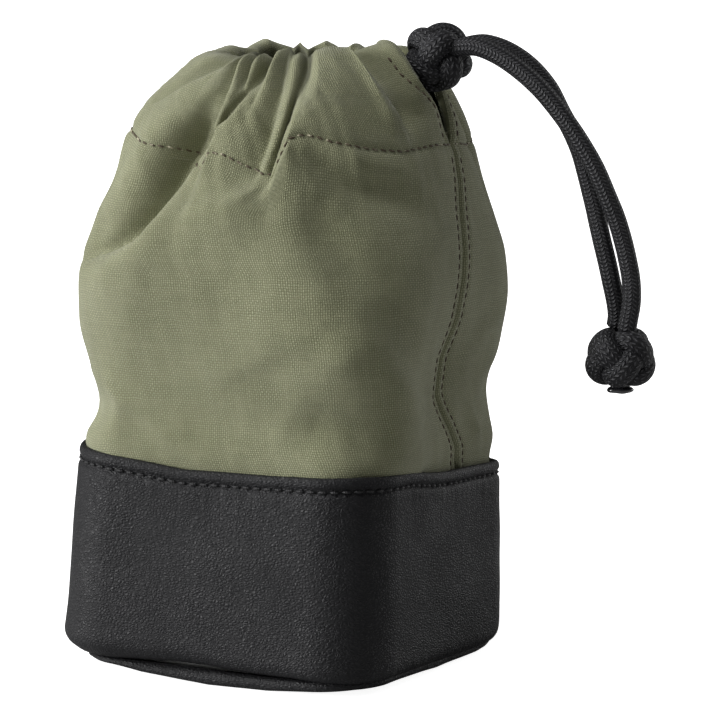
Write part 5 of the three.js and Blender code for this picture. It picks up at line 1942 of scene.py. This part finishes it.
@dataclass(frozen=True)
class ButtonKnot:
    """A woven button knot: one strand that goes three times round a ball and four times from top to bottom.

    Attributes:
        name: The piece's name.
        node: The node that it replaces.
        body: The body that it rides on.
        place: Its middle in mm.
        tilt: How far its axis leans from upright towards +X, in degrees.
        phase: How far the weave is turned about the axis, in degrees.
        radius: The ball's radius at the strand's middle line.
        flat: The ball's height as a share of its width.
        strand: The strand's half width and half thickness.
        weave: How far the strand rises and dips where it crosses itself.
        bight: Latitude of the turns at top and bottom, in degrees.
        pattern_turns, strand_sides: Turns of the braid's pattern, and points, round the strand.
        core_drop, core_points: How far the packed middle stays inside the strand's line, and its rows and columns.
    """

    name: str
    node: str
    body: str
    place: Place
    tilt: float
    phase: float
    radius: float
    flat: float
    strand: tuple[float, float] = (2.65, 2.15)
    weave: float = 1.2
    bight: float = 58.0
    pattern_turns: float = 1.5
    core_drop: float = 0.1
    strand_sides: int = 22
    core_points: tuple[int, int] = (17, 24)

    def route(self, count: int = 420) -> Array:
        """The strand's closed middle line on the ball, its axis along +Z.

        At share t of the way: azimuth 3t turns, latitude bight * cos(4t turns), and distance
        radius + weave * sin(8t turns), the height being flattened.
        """
        t = TURN * np.linspace(0.0, 1.0, count, endpoint=False)
        latitude = math.radians(self.bight) * np.cos(4.0 * t)
        azimuth = 3.0 * t + math.radians(self.phase)
        reach = self.radius + self.weave * np.sin(8.0 * t)
        return np.stack([
            reach * np.cos(latitude) * np.cos(azimuth),
            reach * np.cos(latitude) * np.sin(azimuth),
            reach * np.sin(latitude) * self.flat,
        ], axis=1)

    def build(self) -> Piece:
        """Builds the knot: the strand as a closed tube, a little flattened against the ball, and its packed middle."""
        line = self.route()
        count = len(line)
        wide, thick = self.strand
        swell = 1.0 + 0.05 * wobble(np.arange(count) / 40.0, np.zeros(count), self.phase)
        shape = (line, wide * swell, thick * swell, unit(line), self.strand_sides, self.pattern_turns)
        strand = tube_grid(*shape, ring=True)
        rows, columns = self.core_points
        latitude = np.linspace(-0.5 * math.pi, 0.5 * math.pi, rows)[:, None]
        around = np.linspace(0.0, TURN, columns, endpoint=False)[None]
        core = self.radius - self.core_drop
        middle = np.stack([
            core * np.cos(latitude) * np.cos(around),
            core * np.cos(latitude) * np.sin(around),
            core * self.flat * np.sin(latitude) + 0.0 * around,
        ], axis=-1)
        ways = np.linspace(0.0, 2.0 * self.pattern_turns * PATTERN_TURN, columns + 1)
        pattern = np.stack(np.meshgrid(ways, np.linspace(0.0, 18.0, rows), indexing="xy"), axis=-1)
        lean = math.radians(self.tilt)
        sine, cosine = math.sin(lean), math.cos(lean)
        tip = np.array([[cosine, 0.0, sine], [0.0, 1.0, 0.0], [-sine, 0.0, cosine]])
        draft = Draft()
        for (grid, own), ring_rows in ((strand, True), ((middle, pattern), False)):
            draft.add_grid(grid @ tip.T + np.array(self.place), own, ring_rows=ring_rows, ring_columns=True)
        piece = draft.build(self.name, Finish.CORD, merge=0.001, outward=True)
        return settle(piece, self.body, "cord", self.node)


@dataclass(frozen=True)
class MeltedEnd:
    """The two cord ends, melted together and pressed to a small shining disc below the end knot."""

    place: Place = (75.9, 0.0, 60.3)
    radius: float = 2.6
    columns: int = 48

    def build(self) -> Piece:
        """Builds the disc: a rounded profile turned about the upright, with a rim that runs out and in by 6%."""
        profile = smooth_line(np.array([
            (0.0, 0.0), (1.4, 0.02), (2.2, 0.15), (self.radius, 0.6), (2.3, 1.1), (1.9, 1.3), (1.8, 2.2), (0.0, 2.4),
        ]), 26)
        angle = np.linspace(0.0, TURN, self.columns, endpoint=False)
        rim = 1.0 + 0.06 * np.sin(2.0 * angle + 0.6) + 0.03 * np.sin(5.0 * angle)
        across = profile[:, :1] * rim[None]
        ripple = 0.08 * np.sin(3.0 * angle + 1.0)[None] * (profile[:, :1] / self.radius)
        grid = np.stack([
            self.place[0] + across * np.cos(angle),
            self.place[1] + across * np.sin(angle),
            self.place[2] + np.maximum(profile[:, 1:] + ripple * (profile[:, 1:] < 0.5), 0.0),
        ], axis=-1)
        ways = np.linspace(0.0, 16.0, self.columns + 1)
        pattern = np.stack(np.meshgrid(ways, lengths_along(profile), indexing="xy"), axis=-1)
        draft = Draft()
        draft.add_grid(grid, pattern, ring_columns=True)
        piece = draft.build("melted_disc", Finish.MELTED, merge=0.01, outward=True)
        return settle(piece, "tail_end", "melted_cord", "melted_cord_end")


@dataclass(frozen=True)
class Closure:
    """The cord with its two button knots and its melted end."""

    cord: Drawcord = Drawcord()
    sliding: ButtonKnot = ButtonKnot(
        "knot_sliding", "sliding_knot", "slider", (35.3, 0.0, 126.9), tilt=76.0, phase=21.0, radius=4.45, flat=0.86
    )
    end: ButtonKnot = ButtonKnot(
        "knot_end", "end_knot", "tail_end", (75.9, 0.0, 67.6), tilt=0.0, phase=30.0, radius=4.55, flat=0.80
    )
    melted: MeltedEnd = MeltedEnd()

    def build(self, form: PouchForm) -> None:
        """Builds the knots and the end first, then the cord that carries them."""
        ends = [self.end.build(), self.melted.build()]
        self.sliding.build()
        self.cord.build_strands(ends)
        self.cord.build_loop(form)


def main() -> None:
    """Builds the camera, the cord, the canvas, the leather and what is inside, and reports each piece."""
    logging.basicConfig(level=logging.INFO, format="%(message)s")
    studio = Studio()
    studio.build_camera()
    Closure().build(FORM)
    for side in Side:
        half = CanvasHalf(side)
        half.build(FORM)
        half.sew(FORM)
    base = LeatherBase()
    base.build_band()
    base.build_bottom()
    base.sew()
    inner = InnerPieces()
    band = BandPlace()
    inner.build_lining(FORM, band)
    inner.build_sleeve(band)
    inner.build_disc(band)
    studio.build_light()


if __name__ == "__main__":
    main()
